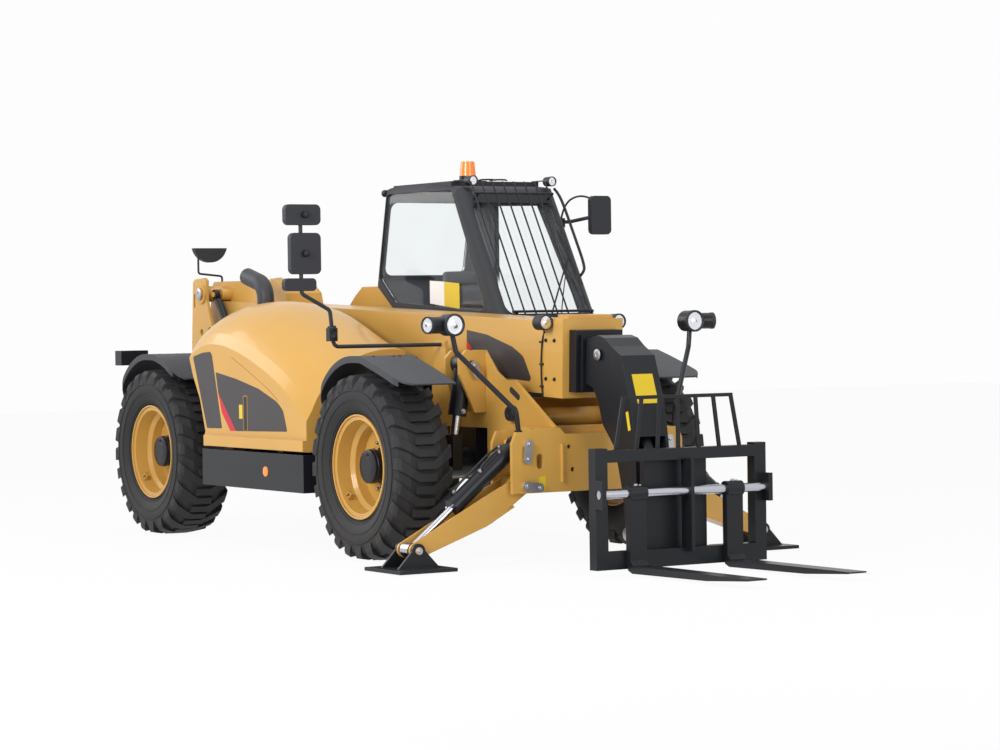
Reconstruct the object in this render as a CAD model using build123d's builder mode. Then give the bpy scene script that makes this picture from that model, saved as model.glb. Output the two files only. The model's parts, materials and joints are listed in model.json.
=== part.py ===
"""Telehandler with a three-section telescopic boom, four steered wheels and front stabilisers.

Millimetres, +X ahead, +Y left, +Z up. The row origin is on the ground under the middle of the whole
machine. Tables and outlines are written ahead of the front axle, in the planes below.
"""

from build123d import *
import os
from math import atan2, cos, degrees, hypot, pi, radians, sin

os.makedirs("parts", exist_ok=True)

# ---------------------------------------------------------------- driving dimensions
front_axle_x = 430
wheelbase = 3070
rear_axle_x = -wheelbase
sides = {"right": -1, "left": 1}

run_gap = 0.3  # between a pin and its bore, and between a piece and its seat
slide_gap = 0.4  # between a boom section and its wear pads

# wheels
tyre_radius = 600
tyre_width = 400
tyre_wall = 32
lug_count = 24  # on each half of the tread, the halves half a pitch apart
lug_depth = 22
track_half = 970  # from the middle of the machine to the middle of a tyre
rim_flange_radius = 335
rim_width = 340
rim_sheet = 10
dish_offset = -35  # from the middle of the rim, positive outwards
dish_thickness = 14
hub_radius = 105
hub_face = 95  # from the middle of the rim, outwards
wheel_flange_radius = 190
wheel_flange_thickness = 16

# axles and steering knuckles
axle_z = tyre_radius
kingpin_y = track_half - 120
kingpin_radius = 32
yoke_inner_half = 108  # half the height between the two arms of the yoke
yoke_arm = 30
yoke_radius = 54
yoke_back_y = kingpin_y - 190
axle_tube_radius = 95
diff_radius = 190
diff_half_width = 150
saddle_top = 830
saddle_length = 260
fender_sheet = 12
fender_top = 1300
fender_skirt = 38
fender_round = 130
fender_inner_y = track_half - tyre_width / 2 - 5
fender_outer_y = track_half + tyre_width / 2 - 18
bracket_y = kingpin_y - 120

# chassis
plate_outer = 335
plate_thickness = 25
plate_inner = plate_outer - plate_thickness
belly_z = 480
rail_top = 1000
arch_half = 270

# boom
boom_slope = 2.2  # degrees, downwards to the front
pivot = (rear_axle_x - 770, 1743)
pivot_pin_radius = 40
boom_half_width = 205
boom_top, boom_bottom = -52, -512  # across the boom, from the pivot
boom_wall = 10
collar_ahead = 1015  # ahead of the front axle
boom_front = collar_ahead - pivot[0]
middle_half_width = 174
middle_top, middle_bottom = -103, -490
middle_wall = 8
middle_front = boom_front + 75
fly_half_width = 140
fly_top, fly_bottom = -143, -470
fly_wall = 8
fly_front = middle_front + 10
boom_pad_length = 90

# head and carriage
head_half_width = 125
head_plate = 20
carriage_pivot = (1600, 210)
tilt_top_pin = (1260, 1300)
tilt_eye = (1680, 550)
frame_back, frame_front = 1880, 1955
frame_half_width = 625
frame_bottom, frame_top = 36, 756
fork_thickness = 45
fork_width = 120
fork_y = 355
fork_ground_gap = 12
fork_tip = 3180
shaft_radius = 27.5
shaft_z = 485

# stabilisers
leg_x = 925
leg_half_width = 80
leg_plate = 15
box_rear, box_front = 800, 1055
box_plate = 25
leg_pin = (548, 496)
ram_pin = (530, 754)
tip_pin = (1300, 135)
leg_pin_radius = 27
pad_ground_gap = 8

leg_fold = 75
pad_swing = (-28, 10)  # degrees, against the leg

# hood
hood_outer, hood_inner = -1120, -360
hood_low = 668
hood_sheet = 22
hood_hinge = (-374, 1562)
hood_rear, hood_front = rear_axle_x + 570, -722
exhaust_x = rear_axle_x + 465

# cylinders
lift_base = (rear_axle_x - 500, 912)
lift_eye_on_boom = (1700, -600)  # along and across the boom
lift_barrel_radius, lift_rod_radius, lift_pin_radius = 85, 50, 35
lift_lug_gap = 70  # from the middle of the machine to a lug
lift_lug_plate = 25
level_y = -270
level_top = (rear_axle_x - 660, 1737)
level_foot = (rear_axle_x - 40, 949)
tilt_barrel_end = 730

# cab
cab_right, cab_left = 250, 1050
cab_wall = 40
cab_low_right = 345  # beside the side plate of the chassis
cab_step_z = 1010
glass_depth, glass_thickness = 14, 6
windscreen_y = (312, 988)
door_gap = 6
door_hinge = (-1850, 1064)
door_hinge_z = (1000, 2100)
roof_top = 2487


# ---------------------------------------------------------------- planes and helpers
def side(y):
    """Side view at y: local x runs ahead of the front axle, local y up, extrusions run right."""
    return Plane(origin=(front_axle_x, y, 0), x_dir=(1, 0, 0), z_dir=(0, -1, 0))


def across(x):
    """View from the front at x ahead of the front axle: local x runs left, local y up."""
    return Plane(origin=(front_axle_x + x, 0, 0), x_dir=(0, 1, 0), z_dir=(1, 0, 0))


def level(z):
    """Plan at height z: local x runs ahead of the front axle, local y left."""
    return Plane(origin=(front_axle_x, 0, z), x_dir=(1, 0, 0), z_dir=(0, 0, 1))


def along_boom(y):
    """Side view in the boom's own frame: local x runs along the boom from its pivot."""
    slope = radians(boom_slope)
    origin = (front_axle_x + pivot[0], y, pivot[1])
    return Plane(origin=origin, x_dir=(cos(slope), 0, -sin(slope)), z_dir=(0, -1, 0))


def plate(outline, plane, thickness, mode=Mode.ADD):
    """Adds a flat plate with this outline to the piece being built."""
    with BuildSketch(plane) as face:
        Polygon(*outline, align=None)
    extrude(face.sketch, amount=thickness, mode=mode)


def disc(centre, plane, radius, thickness, mode=Mode.ADD):
    """Adds a round boss, pin or hole to the piece being built."""
    with BuildSketch(plane) as face:
        with Locations(centre):
            Circle(radius)
    extrude(face.sketch, amount=thickness, mode=mode)


def block(low, high, mode=Mode.ADD):
    """Adds a box between two corners given ahead of the front axle, left and up."""
    with BuildSketch(level(low[2])) as face:
        with Locations(((low[0] + high[0]) / 2, (low[1] + high[1]) / 2)):
            Rectangle(high[0] - low[0], high[1] - low[1])
    extrude(face.sketch, amount=high[2] - low[2], mode=mode)


def ahead(point):
    """Turns a point written ahead of the front axle into a vector of the row frame."""
    return Vector(front_axle_x + point[0], point[1], point[2])


def rod(start, end, radius, mode=Mode.ADD):
    """Adds a round bar between two points."""
    run = ahead(end) - ahead(start)
    with BuildSketch(Plane(origin=ahead(start), z_dir=run)) as face:
        Circle(radius)
    extrude(face.sketch, amount=run.length, mode=mode)


def bent_tube(points, bend, radius, bore=0):
    """Adds a round tube along a path of straight runs joined by arcs."""
    with BuildLine(mode=Mode.PRIVATE) as path:
        FilletPolyline(*[ahead(point) for point in points], radius=bend)
    run = ahead(points[1]) - ahead(points[0])
    with BuildSketch(Plane(origin=ahead(points[0]), z_dir=run)) as face:
        Circle(radius)
        if bore:
            Circle(bore, mode=Mode.SUBTRACT)
    sweep(face.sketch, path=path.line)


def write(piece, name):
    """Labels a finished piece and writes its STEP file."""
    piece.part.label = name
    export_step(piece.part, f"parts/{name}.step")


def polar(centre, radius, angle):
    """A point at a radius and an angle in degrees from a centre."""
    return (centre[0] + radius * cos(radians(angle)), centre[1] + radius * sin(radians(angle)))


# ---------------------------------------------------------------- wheels
rim_outline = [  # offset from the middle of the rim, radius
    (-rim_width / 2, rim_flange_radius),
    (-rim_width / 2 + 12, rim_flange_radius),
    (-rim_width / 2 + 14, rim_flange_radius - 26),
    (-85, rim_flange_radius - 34),
    (-62, rim_flange_radius - 60),
    (40, rim_flange_radius - 60),
    (64, rim_flange_radius - 34),
    (rim_width / 2 - 14, rim_flange_radius - 26),
    (rim_width / 2 - 12, rim_flange_radius),
    (rim_width / 2, rim_flange_radius),
]
bead_radius = rim_flange_radius - 26 + run_gap
bead_half = rim_width / 2 - 14 - run_gap
sidewall_half = tyre_width / 2


def wheel_plane(axle_x, side_sign):
    """Section through a wheel's axis: local x runs outwards from the rim's middle, local y up."""
    origin = (front_axle_x + axle_x, side_sign * track_half, axle_z)
    return Plane(origin=origin, x_dir=(0, side_sign, 0), z_dir=(side_sign, 0, 0))


def wheel_axis(axle_x, side_sign):
    return Axis((front_axle_x + axle_x, side_sign * track_half, axle_z), (0, 1, 0))


lug_outline = [  # along the axle from the middle of the tread, round the tread
    (-70, -25), (60, -25), (205, 60), (205, 135), (45, 25), (-70, 25),
]
lug_middle = 55
lug_reach = lug_middle - lug_outline[0][1]
lug_top = (tyre_radius ** 2 - lug_reach ** 2) ** 0.5
tread_floor = tyre_radius - lug_depth
lug_profile = [  # along the axle, height above the axle
    (-80, tread_floor - 14), (-80, lug_top), (108, lug_top), (184, lug_top - 13),
    (199, lug_top - 42), (199, 500), (182, 500), (172, 520), (110, tread_floor - 14),
]


def tread_lug(half):
    """One lug at the top of the tyre, on the left half (1) or the right half (-1)."""
    with BuildPart(mode=Mode.PRIVATE) as lug:
        with BuildSketch(Plane.XY.offset(480)) as face:
            Polygon(*[(lug_middle - along, half * y) for y, along in lug_outline], align=None)
        extrude(face.sketch, amount=160)
        with BuildSketch(Plane.YZ) as face:
            Polygon(*[(half * y, z) for y, z in lug_profile], align=None)
        extrude(face.sketch, amount=150, both=True, mode=Mode.INTERSECT)
    return lug.part


with BuildPart() as tread:
    with BuildSketch(Plane.YZ) as profile:
        with BuildLine():
            Polyline((-bead_half, bead_radius), (-bead_half, rim_flange_radius + 4))
            ThreePointArc((-bead_half, rim_flange_radius + 4), (-sidewall_half, 455),
                          (-sidewall_half + 18, 545))
            Polyline((-sidewall_half + 18, 545), (-110, tread_floor), (110, tread_floor),
                     (sidewall_half - 18, 545))
            ThreePointArc((sidewall_half - 18, 545), (sidewall_half, 455),
                          (bead_half, rim_flange_radius + 4))
            Polyline((bead_half, rim_flange_radius + 4), (bead_half, bead_radius),
                     (bead_half - tyre_wall, bead_radius))
            ThreePointArc((bead_half - tyre_wall, bead_radius),
                          (sidewall_half - tyre_wall, 455), (100, tread_floor - 28))
            Line((100, tread_floor - 28), (-100, tread_floor - 28))
            ThreePointArc((-100, tread_floor - 28), (-sidewall_half + tyre_wall, 455),
                          (-bead_half + tyre_wall, bead_radius))
            Line((-bead_half + tyre_wall, bead_radius), (-bead_half, bead_radius))
        make_face()
    revolve(profile.sketch, axis=Axis.Y)
    pitch = 360 / lug_count
    # the lowest edge of one lug stands straight under the axle
    first = 180 - degrees(atan2(lug_reach, lug_top))
    add([tread_lug(half).rotate(Axis.Y, first + pitch * (k + shift))
         for half, shift in ((1, 0), (-1, 0.5)) for k in range(lug_count)])

for end, axle_x in (("front", 0), ("rear", rear_axle_x)):
    for side_name, sign in sides.items():
        section = wheel_plane(axle_x, sign)
        axis = wheel_axis(axle_x, sign)
        with BuildPart() as tyre:
            with Locations(ahead((axle_x, sign * track_half, axle_z))):
                add(tread.part)
        write(tyre, f"tyre_{end}_{side_name}")

        with BuildPart() as rim:
            with BuildSketch(section) as profile:
                inner = [(x, r - rim_sheet) for x, r in reversed(rim_outline)]
                Polygon(*rim_outline, *inner, align=None)
                dish_low = dish_offset - dish_thickness / 2
                with Locations((dish_offset, rim_flange_radius - 62)):
                    Rectangle(dish_thickness, rim_flange_radius - 62 - hub_radius,
                              align=(Align.CENTER, Align.MAX))
                with Locations((dish_low, 0)):
                    Rectangle(hub_face - dish_low, hub_radius, align=(Align.MIN, Align.MIN))
                    Rectangle(wheel_flange_thickness, wheel_flange_radius,
                              align=(Align.MAX, Align.MIN))
            revolve(profile.sketch, axis=axis)
        write(rim, f"rim_{end}_{side_name}")

# ---------------------------------------------------------------- axles and knuckles
spindle_end = track_half + dish_offset - dish_thickness / 2 - wheel_flange_thickness
knuckle_half = yoke_inner_half - 6


def axle(axle_x):
    """A drive axle: housing, tubes, saddle and the two yokes that hold the kingpins."""
    disc((axle_x, axle_z), side(diff_half_width), diff_radius, 2 * diff_half_width)
    disc((axle_x, axle_z), side(yoke_back_y + 30), axle_tube_radius, 2 * (yoke_back_y + 30))
    block((axle_x - saddle_length / 2, -plate_outer, axle_z),
          (axle_x + saddle_length / 2, plate_outer, saddle_top))
    for sign in sides.values():
        y = sign * kingpin_y
        near = sign * yoke_back_y
        top = axle_z + yoke_inner_half
        low = axle_z - yoke_inner_half - yoke_arm
        for z in (top, low):
            with BuildSketch(level(z)) as arm:
                with Locations((axle_x, y)):
                    Circle(yoke_radius)
                with Locations((axle_x, (near + y) / 2)):
                    Rectangle(2 * yoke_radius, abs(y - near))
                with Locations((axle_x, y)):
                    Circle(kingpin_radius + run_gap, mode=Mode.SUBTRACT)
            extrude(arm.sketch, amount=yoke_arm)
        block((axle_x - yoke_radius, min(near, near + 30 * sign), low),
              (axle_x + yoke_radius, max(near, near + 30 * sign), top + yoke_arm))


for end, axle_x in (("front", 0), ("rear", rear_axle_x)):
    with BuildPart() as axle_piece:
        axle(axle_x)
        if end == "front":
            for sign in sides.values():
                # levelling cylinder between the chassis clevis and the axle
                foot = (axle_x + 160, sign * 517, 770)
                head = (axle_x + 160, sign * 440, 1240)
                middle = (axle_x + 160, sign * (517 - 77 * 0.3), 770 + 470 * 0.3)
                block((axle_x + 60, sign * 517 - 35, axle_z - 40),
                      (axle_x + 200, sign * 517 + 35, 790))
                rod(foot, middle, 30)
                rod(middle, head, 60)
                rod((axle_x + 110, sign * 440, 1240), (axle_x + 210, sign * 440, 1240), 68)
                rod((axle_x + 40, sign * 440, 1240), (axle_x + 285, sign * 440, 1240), 24)
    write(axle_piece, f"{end}_axle")

for end, axle_x in (("front", 0), ("rear", rear_axle_x)):
    lip_front = 600 if end == "front" else 450
    for side_name, sign in sides.items():
        y = sign * kingpin_y
        with BuildPart() as knuckle:
            with BuildSketch(level(axle_z - knuckle_half)) as core:
                with Locations((axle_x, y)):
                    Circle(kingpin_radius + 25)
            extrude(core.sketch, amount=2 * knuckle_half)
            with BuildSketch(level(axle_z - yoke_inner_half - yoke_arm)) as pin:
                with Locations((axle_x, y)):
                    Circle(kingpin_radius)
            extrude(pin.sketch, amount=2 * (yoke_inner_half + yoke_arm) + 6)
            start = (axle_x, y, axle_z)
            rod(start, (axle_x, sign * (spindle_end - run_gap), axle_z), 90)
            # bracket from the kingpin's top, inboard of the tyre, to the fender
            cap_z = axle_z + yoke_inner_half + yoke_arm + 6
            block((axle_x - 45, min(sign * bracket_y - 15, y - 45), cap_z),
                  (axle_x + 45, max(sign * bracket_y + 15, y + 45), cap_z + 20))
            block((axle_x - 45, sign * bracket_y - 15, cap_z),
                  (axle_x + 45, sign * bracket_y + 15, fender_top - 20))
            block((axle_x - 45, min(sign * bracket_y - 15, sign * (fender_outer_y - 52)), fender_top - 20),
                  (axle_x + 45, max(sign * bracket_y + 15, sign * (fender_outer_y - 52)),
                   fender_top - fender_sheet / 2 - run_gap))
        write(knuckle, f"knuckle_{end}_{side_name}")

        with BuildPart() as fender:
            width = fender_outer_y - fender_inner_y
            near = fender_outer_y if sign > 0 else -fender_inner_y
            rise = [(axle_x - 545, 940), (axle_x - 375, 1182), (axle_x - 60, fender_top),
                    (axle_x + 60, fender_top), (axle_x + 285, 1236), (axle_x + lip_front, 1130)]
            with BuildSketch(side(near)) as curve:
                with BuildLine():
                    ThreePointArc(*rise[:3])
                    Line(*rise[2:4])
                    ThreePointArc(*rise[3:])
                    offset(amount=fender_sheet / 2)
                make_face()
            extrude(curve.sketch, amount=width)
            # skirt along the outer edge
            outer = fender_outer_y if sign > 0 else -fender_outer_y + fender_sheet
            drop = [(x, z - fender_skirt) for x, z in reversed(rise)]
            with BuildSketch(side(outer)) as skirt:
                with BuildLine():
                    ThreePointArc(*rise[:3])
                    Line(*rise[2:4])
                    ThreePointArc(*rise[3:])
                    Line(rise[5], drop[0])
                    ThreePointArc(*drop[:3])
                    Line(*drop[2:4])
                    ThreePointArc(*drop[3:])
                    Line(drop[5], rise[0])
                make_face()
            extrude(skirt.sketch, amount=fender_sheet)
            # rounded outer corners
            round_y = sign * (fender_outer_y - fender_round)
            for x, way in ((axle_x + lip_front + 10, 1), (axle_x - 555, -1)):
                centre = (x - way * fender_round, round_y)
                with BuildSketch(level(880)) as corner:
                    with Locations((centre[0] + way * fender_round / 2 + way * 10,
                                    centre[1] + sign * fender_round / 2 + sign * 10)):
                        Rectangle(fender_round + 20, fender_round + 20)
                    with Locations(centre):
                        Circle(fender_round, mode=Mode.SUBTRACT)
                extrude(corner.sketch, amount=500, mode=Mode.SUBTRACT)
        write(fender, f"fender_{end}_{side_name}")

# ---------------------------------------------------------------- chassis
rail_outline = [
    (rear_axle_x - 940, belly_z), (rear_axle_x - 953, 1372), (rear_axle_x - 920, 1830),
    (rear_axle_x - 890, 1856), (rear_axle_x - 736, 1864), (rear_axle_x - 698, 1845),
    (rear_axle_x - 698, 1690), (rear_axle_x - 570, 1420), (rear_axle_x - 350, 1120),
    (rear_axle_x - 180, rail_top), (60, rail_top), (95, 1330), (240, 1330), (373, 1195),
    (482, 1141), (605, 1138), (box_front, 858), (box_front, 851), (box_rear, 851),
    (box_rear, belly_z), (arch_half, belly_z), (arch_half, saddle_top), (-arch_half, saddle_top),
    (-arch_half, belly_z), (rear_axle_x + arch_half, belly_z),
    (rear_axle_x + arch_half, saddle_top), (rear_axle_x - arch_half, saddle_top),
    (rear_axle_x - arch_half, belly_z),
]
outrigger_z = (650, 700)
outrigger_x = (-1990, -1250)
clevis_x = (60, 235)
post_x = (rear_axle_x + 720, -1750)
tail_wall = rear_axle_x - 938
cross_plate = 15

with BuildPart() as chassis:
    for sign in sides.values():
        near = sign * plate_outer if sign > 0 else -plate_inner
        plate(rail_outline, side(near), plate_thickness)
        # boss round the boom's pin
        near = plate_outer + 14 if sign > 0 else -plate_outer
        disc(pivot, side(near), 74, 14)
    disc(pivot, side(plate_outer + 24), pivot_pin_radius + run_gap, 2 * plate_outer + 48,
         mode=Mode.SUBTRACT)
    # slot and holes of the tower
    plate([(rear_axle_x + x, z) for x, z in ((-912, 1640), (-886, 1640), (-886, 1742), (-912, 1742))],
          side(plate_outer + 5), 2 * plate_outer + 10, mode=Mode.SUBTRACT)
    for x, z in ((-783, 1453), (-645, 1468)):
        disc((rear_axle_x + x, z), side(plate_outer + 5), 24, 2 * plate_outer + 10,
             mode=Mode.SUBTRACT)
    # bracket of the mirror's arm
    plate([(-430, rail_top), (-380, 1390), (-250, 1390), (-200, rail_top)],
          side(-plate_inner), plate_thickness)
write(chassis, "chassis_frame")

with BuildPart() as members:
    # cross plates and a tube between the two side plates
    for x0, x1, z0, z1 in (
        (rear_axle_x + arch_half, -arch_half, belly_z, belly_z + cross_plate),
        (rear_axle_x - arch_half, rear_axle_x + arch_half, saddle_top, saddle_top + cross_plate),
        (-arch_half, arch_half, saddle_top, saddle_top + cross_plate),
        (arch_half, box_rear, belly_z, belly_z + cross_plate),
        (tail_wall, rear_axle_x - arch_half, belly_z, belly_z + cross_plate),
        (tail_wall, tail_wall + cross_plate, belly_z, rail_top),
        (rear_axle_x + arch_half + 40, rear_axle_x + arch_half + 60, belly_z, rail_top - 140),
        (-arch_half - 20, -arch_half, belly_z, rail_top - 60),
        (box_rear - 20, box_rear, belly_z, 851),
    ):
        block((x0, -plate_inner, z0), (x1, plate_inner, z1))
    disc((600, 900), side(plate_inner), 60, 2 * plate_inner)
    # the boom's pin
    disc(pivot, side(plate_outer + 24), pivot_pin_radius, 2 * plate_outer + 48)
    # lift cylinder lugs with their pin, and the levelling cylinder's lug
    for y in (lift_lug_gap + lift_lug_plate, -lift_lug_gap):
        plate([(lift_base[0] - 100, belly_z), (lift_base[0] + 100, belly_z),
               (lift_base[0] + 45, lift_base[1] + 55), (lift_base[0] - 45, lift_base[1] + 55)],
              side(y), lift_lug_plate)
    disc(lift_base, side(lift_lug_gap + lift_lug_plate), lift_pin_radius,
         2 * (lift_lug_gap + lift_lug_plate))
    plate([(level_foot[0] - 80, saddle_top), (level_foot[0] + 80, saddle_top),
           (level_foot[0] + 40, level_foot[1] + 41), (level_foot[0] - 40, level_foot[1] + 41)],
          side(level_y + 50), 20)
    # outriggers for the engine, the cab and the side boxes
    for x in outrigger_x:
        for sign in sides.values():
            low, high = sorted((sign * plate_outer, sign * 1040))
            block((x - 40, low, outrigger_z[0]), (x + 40, high, outrigger_z[1]))
    # clevis plates for the axle's levelling cylinders
    for x in clevis_x:
        for sign in sides.values():
            with BuildSketch(across(x)) as face:
                Polygon(*[(sign * y, z) for y, z in (
                    (plate_outer, 930), (plate_outer, 1330), (480, 1330), (530, 1280),
                    (530, 1180), (420, 930))], align=None)
                with Locations((sign * 440, 1240)):
                    Circle(24 + run_gap, mode=Mode.SUBTRACT)
            extrude(face.sketch, amount=25)
    # rear lamp beams, exhaust foot and hood hinge posts
    for sign in sides.values():
        low, high = sorted((sign * plate_outer, sign * 800))
        block((pivot[0] - 40, low, 1250), (pivot[0] + 10, high, 1290))
    block((exhaust_x - 75, -510, 950), (exhaust_x + 75, -plate_outer, 1000))
    for x in post_x:
        block((x - 15, -352, 850), (x + 15, -plate_outer, 1530))
        block((x - 15, -384, 1500), (x + 15, -plate_outer, 1530))
        block((x - 15, -384, 1530), (x + 15, -364, hood_hinge[1]))
        disc(hood_hinge, across(x - 15), 16, 30)
        disc(hood_hinge, across(x + 15), 9, 40)
write(members, "frame_members")

box_centre_top = 808
box_outline = [
    (640, 451), (640, 760), (607, 832), (560, 832), (440, 851), (290, 851), (245, box_centre_top),
]
with BuildPart() as box:
    full = box_outline + [(-y, z) for y, z in reversed(box_outline)]
    for x in (box_rear, box_front - box_plate):
        plate(full, across(x), box_plate)
    block((box_rear, -246, box_centre_top - 25), (box_front, 246, box_centre_top))
    for sign in sides.values():
        low, high = sorted((sign * 290, sign * 440))
        block((box_rear, low, 826), (box_front, high, 851))
        low, high = sorted((sign * 246, sign * 320))
        block((box_rear, low, box_centre_top - 25), (box_front, high, box_centre_top))
        low, high = sorted((sign * 300, sign * 325))
        block((box_rear, low, 451), (box_front, high, 851))
        for y, z in (leg_pin, ram_pin):
            disc((sign * y, z), across(box_rear - 8), leg_pin_radius, box_front - box_rear + 24)
        # slot, holes and rib of the front plate
        with BuildSketch(across(box_front - box_plate - 5)) as holes:
            with Locations((sign * 439, 646)):
                SlotOverall(96, 46, rotation=90)
            with Locations((sign * 222, 730), (sign * 196, 587)):
                Circle(14)
        extrude(holes.sketch, amount=box_plate + 10, mode=Mode.SUBTRACT)
        low, high = sorted((sign * 273, sign * 285))
        block((box_front - 2, low, 510), (box_front + 18, high, 746))
    block((box_rear, -300, 451), (box_front, 300, 476))
write(box, "stabiliser_box")

# ---------------------------------------------------------------- engine, boxes, covers, exhaust
with BuildPart() as engine:
    block((-2050, -960, outrigger_z[1]), (-1150, -450, 1180))
write(engine, "engine_block")

with BuildPart() as boxes:
    for sign in sides.values():
        low, high = sorted((sign * 520, sign * 1150))
        block((rear_axle_x + 860, low, 400), (-715, high, outrigger_z[0]))
write(boxes, "side_boxes")

with BuildPart() as rear_cover:
    plate([(-2762, 1290), (-2762, 1635), (-2668, 1708), (-2560, 1773), (-2200, 1773),
           (-1945, 1597), (-1945, outrigger_z[1]), (rear_axle_x + 770, outrigger_z[1]),
           (rear_axle_x + 740, 1290)],
          side(1060), 715)
write(rear_cover, "rear_cover")

with BuildPart() as exhaust:
    bent_tube([(exhaust_x, -430, rail_top), (exhaust_x, -430, 1790), (exhaust_x - 285, -430, 1860)],
              130, 62, 54)
write(exhaust, "exhaust")

# ---------------------------------------------------------------- hood
hood_sections = [  # share of the length, crease above the side, ridge beside the boom
    (0, 1328, 1603),
    (0.197, 1452, 1630),
    (0.478, 1385, 1600),
    (0.759, 1210, 1445),
    (1, 945, 1325),
]
hood_rear_cut = [(rear_axle_x + x, z) for x, z in (
    (470, 1345), (588, 1333), (668, 1157), (774, 991), (852, 768), (820, 725), (814, 600),
    (470, 600))]


def hood_face(x, crease, ridge, inset):
    """Section of the hood across the machine, drawn inwards by the sheet's thickness."""
    outer = hood_outer + inset
    inner = hood_inner + (60 if inset else 0)
    low = hood_low - (60 if inset else 0)
    with BuildSketch(across(x)) as face:
        with BuildLine():
            Polyline((inner, low), (outer, low), (outer, crease - 75), (outer + 45, crease - inset))
            middle = (hood_outer * 0.6 + hood_inner * 0.4, crease * 0.38 + ridge * 0.62 + 62 - inset)
            ThreePointArc((outer + 45, crease - inset), middle, (inner, ridge - inset))
            Line((inner, ridge - inset), (inner, low))
        make_face()
    return face.sketch


with BuildPart() as hood:
    length = hood_front - hood_rear
    skin = loft([hood_face(hood_rear + share * length, crease, ridge, 0)
                 for share, crease, ridge in hood_sections])
    with BuildPart(mode=Mode.PRIVATE) as hollow:
        ends = {0: hood_sheet, 1: -hood_sheet}
        loft([hood_face(hood_rear + share * length + ends.get(share, 0), crease, ridge,
                        hood_sheet) for share, crease, ridge in hood_sections])
    add(hollow.part, mode=Mode.SUBTRACT)
    plate(hood_rear_cut, side(0), 1400, mode=Mode.SUBTRACT)
    # sill along the lower edge
    block((hood_rear + 310, hood_outer - 30, hood_low + 5), (hood_front, hood_outer + 2, hood_low + 78))
    for x in post_x:
        # hinge eye on the pin of each post
        disc(hood_hinge, across(x + 17), 18, 36)
        with BuildPart(mode=Mode.PRIVATE) as web:
            block((x + 17, hood_hinge[0] - 10, hood_hinge[1]), (x + 53, hood_hinge[0] + 10, 1700))
            add(skin, mode=Mode.INTERSECT)
        add(web.part)
        disc(hood_hinge, across(x + 10), 9 + run_gap, 60, mode=Mode.SUBTRACT)
write(hood, "engine_hood")

# ---------------------------------------------------------------- boom
def ring(front, length, outer_half, outer_low, outer_high, inner_half, inner_low, inner_high):
    """A rectangular collar along the boom, ending at front."""
    for y, low, high, mode in ((outer_half, outer_low, outer_high, Mode.ADD),
                               (inner_half, inner_low, inner_high, Mode.SUBTRACT)):
        plate([(front - length, low), (front, low), (front, high), (front - length, high)],
              along_boom(y), 2 * y, mode=mode)


with BuildPart() as boom:
    ring(boom_front, boom_front + 110, boom_half_width, boom_bottom, boom_top,
         boom_half_width - boom_wall, boom_bottom + boom_wall, boom_top - boom_wall)
    # closed heel and raised tail
    plate([(-110, boom_bottom), (250, boom_bottom), (250, boom_top), (-110, boom_top)],
          along_boom(boom_half_width), 2 * boom_half_width)
    plate([(-190, boom_top), (-190, 62), (-165, 88), (850, 126), (1010, 30), (1040, boom_top)],
          along_boom(150), 300)
    disc((0, 0), along_boom(plate_inner - 5), 60, 2 * plate_inner - 10)
    disc((0, 0), along_boom(plate_outer), pivot_pin_radius + run_gap, 2 * plate_outer,
         mode=Mode.SUBTRACT)
    # collar and its wear pads
    ring(boom_front, 215, boom_half_width + 20, boom_bottom - 18, boom_top + 18,
         boom_half_width - boom_wall, boom_bottom + boom_wall, boom_top - boom_wall)
    ring(boom_front, boom_pad_length, boom_half_width - boom_wall, boom_bottom + boom_wall,
         boom_top - boom_wall, middle_half_width + slide_gap, middle_bottom - slide_gap,
         middle_top + slide_gap)
    plate([(boom_front - 150, boom_top + 10), (boom_front - 25, boom_top + 10),
           (boom_front - 25, boom_top + 42), (boom_front - 150, boom_top + 42)],
          along_boom(165), 330)
    # lift cylinder lugs
    eye_x, eye_y = lift_eye_on_boom
    for y in (lift_lug_gap + lift_lug_plate, -lift_lug_gap):
        plate([(eye_x - 110, boom_bottom), (eye_x - 70, eye_y - 40), (eye_x - 30, eye_y - 68),
               (eye_x + 30, eye_y - 68), (eye_x + 70, eye_y - 40), (eye_x + 140, boom_bottom)],
              along_boom(y), lift_lug_plate)
    # ear and pin of the levelling cylinder
    ear = along_boom(0).to_local_coords(ahead((level_top[0], 0, level_top[1])))
    disc((ear.X, ear.Y), along_boom(-150), 44, 82)
    disc((ear.X, ear.Y), along_boom(-150), 20, 148)
write(boom, "outer_boom")

with BuildPart() as middle:
    ring(middle_front, middle_front - 700, middle_half_width, middle_bottom, middle_top,
         middle_half_width - middle_wall, middle_bottom + middle_wall, middle_top - middle_wall)
    ring(790, 90, boom_half_width - boom_wall - slide_gap, boom_bottom + boom_wall + slide_gap,
         boom_top - boom_wall - slide_gap, middle_half_width - middle_wall,
         middle_bottom + middle_wall, middle_top - middle_wall)
    ring(middle_front, boom_pad_length, middle_half_width - middle_wall,
         middle_bottom + middle_wall, middle_top - middle_wall, fly_half_width + slide_gap,
         fly_bottom - slide_gap, fly_top + slide_gap)
write(middle, "middle_boom")

with BuildPart() as fly:
    ring(fly_front, fly_front - 800, fly_half_width, fly_bottom, fly_top,
         fly_half_width - fly_wall, fly_bottom + fly_wall, fly_top - fly_wall)
    ring(890, 90, middle_half_width - middle_wall - slide_gap,
         middle_bottom + middle_wall + slide_gap, middle_top - middle_wall - slide_gap,
         fly_half_width - fly_wall, fly_bottom + fly_wall, fly_top - fly_wall)
write(fly, "inner_boom")

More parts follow.
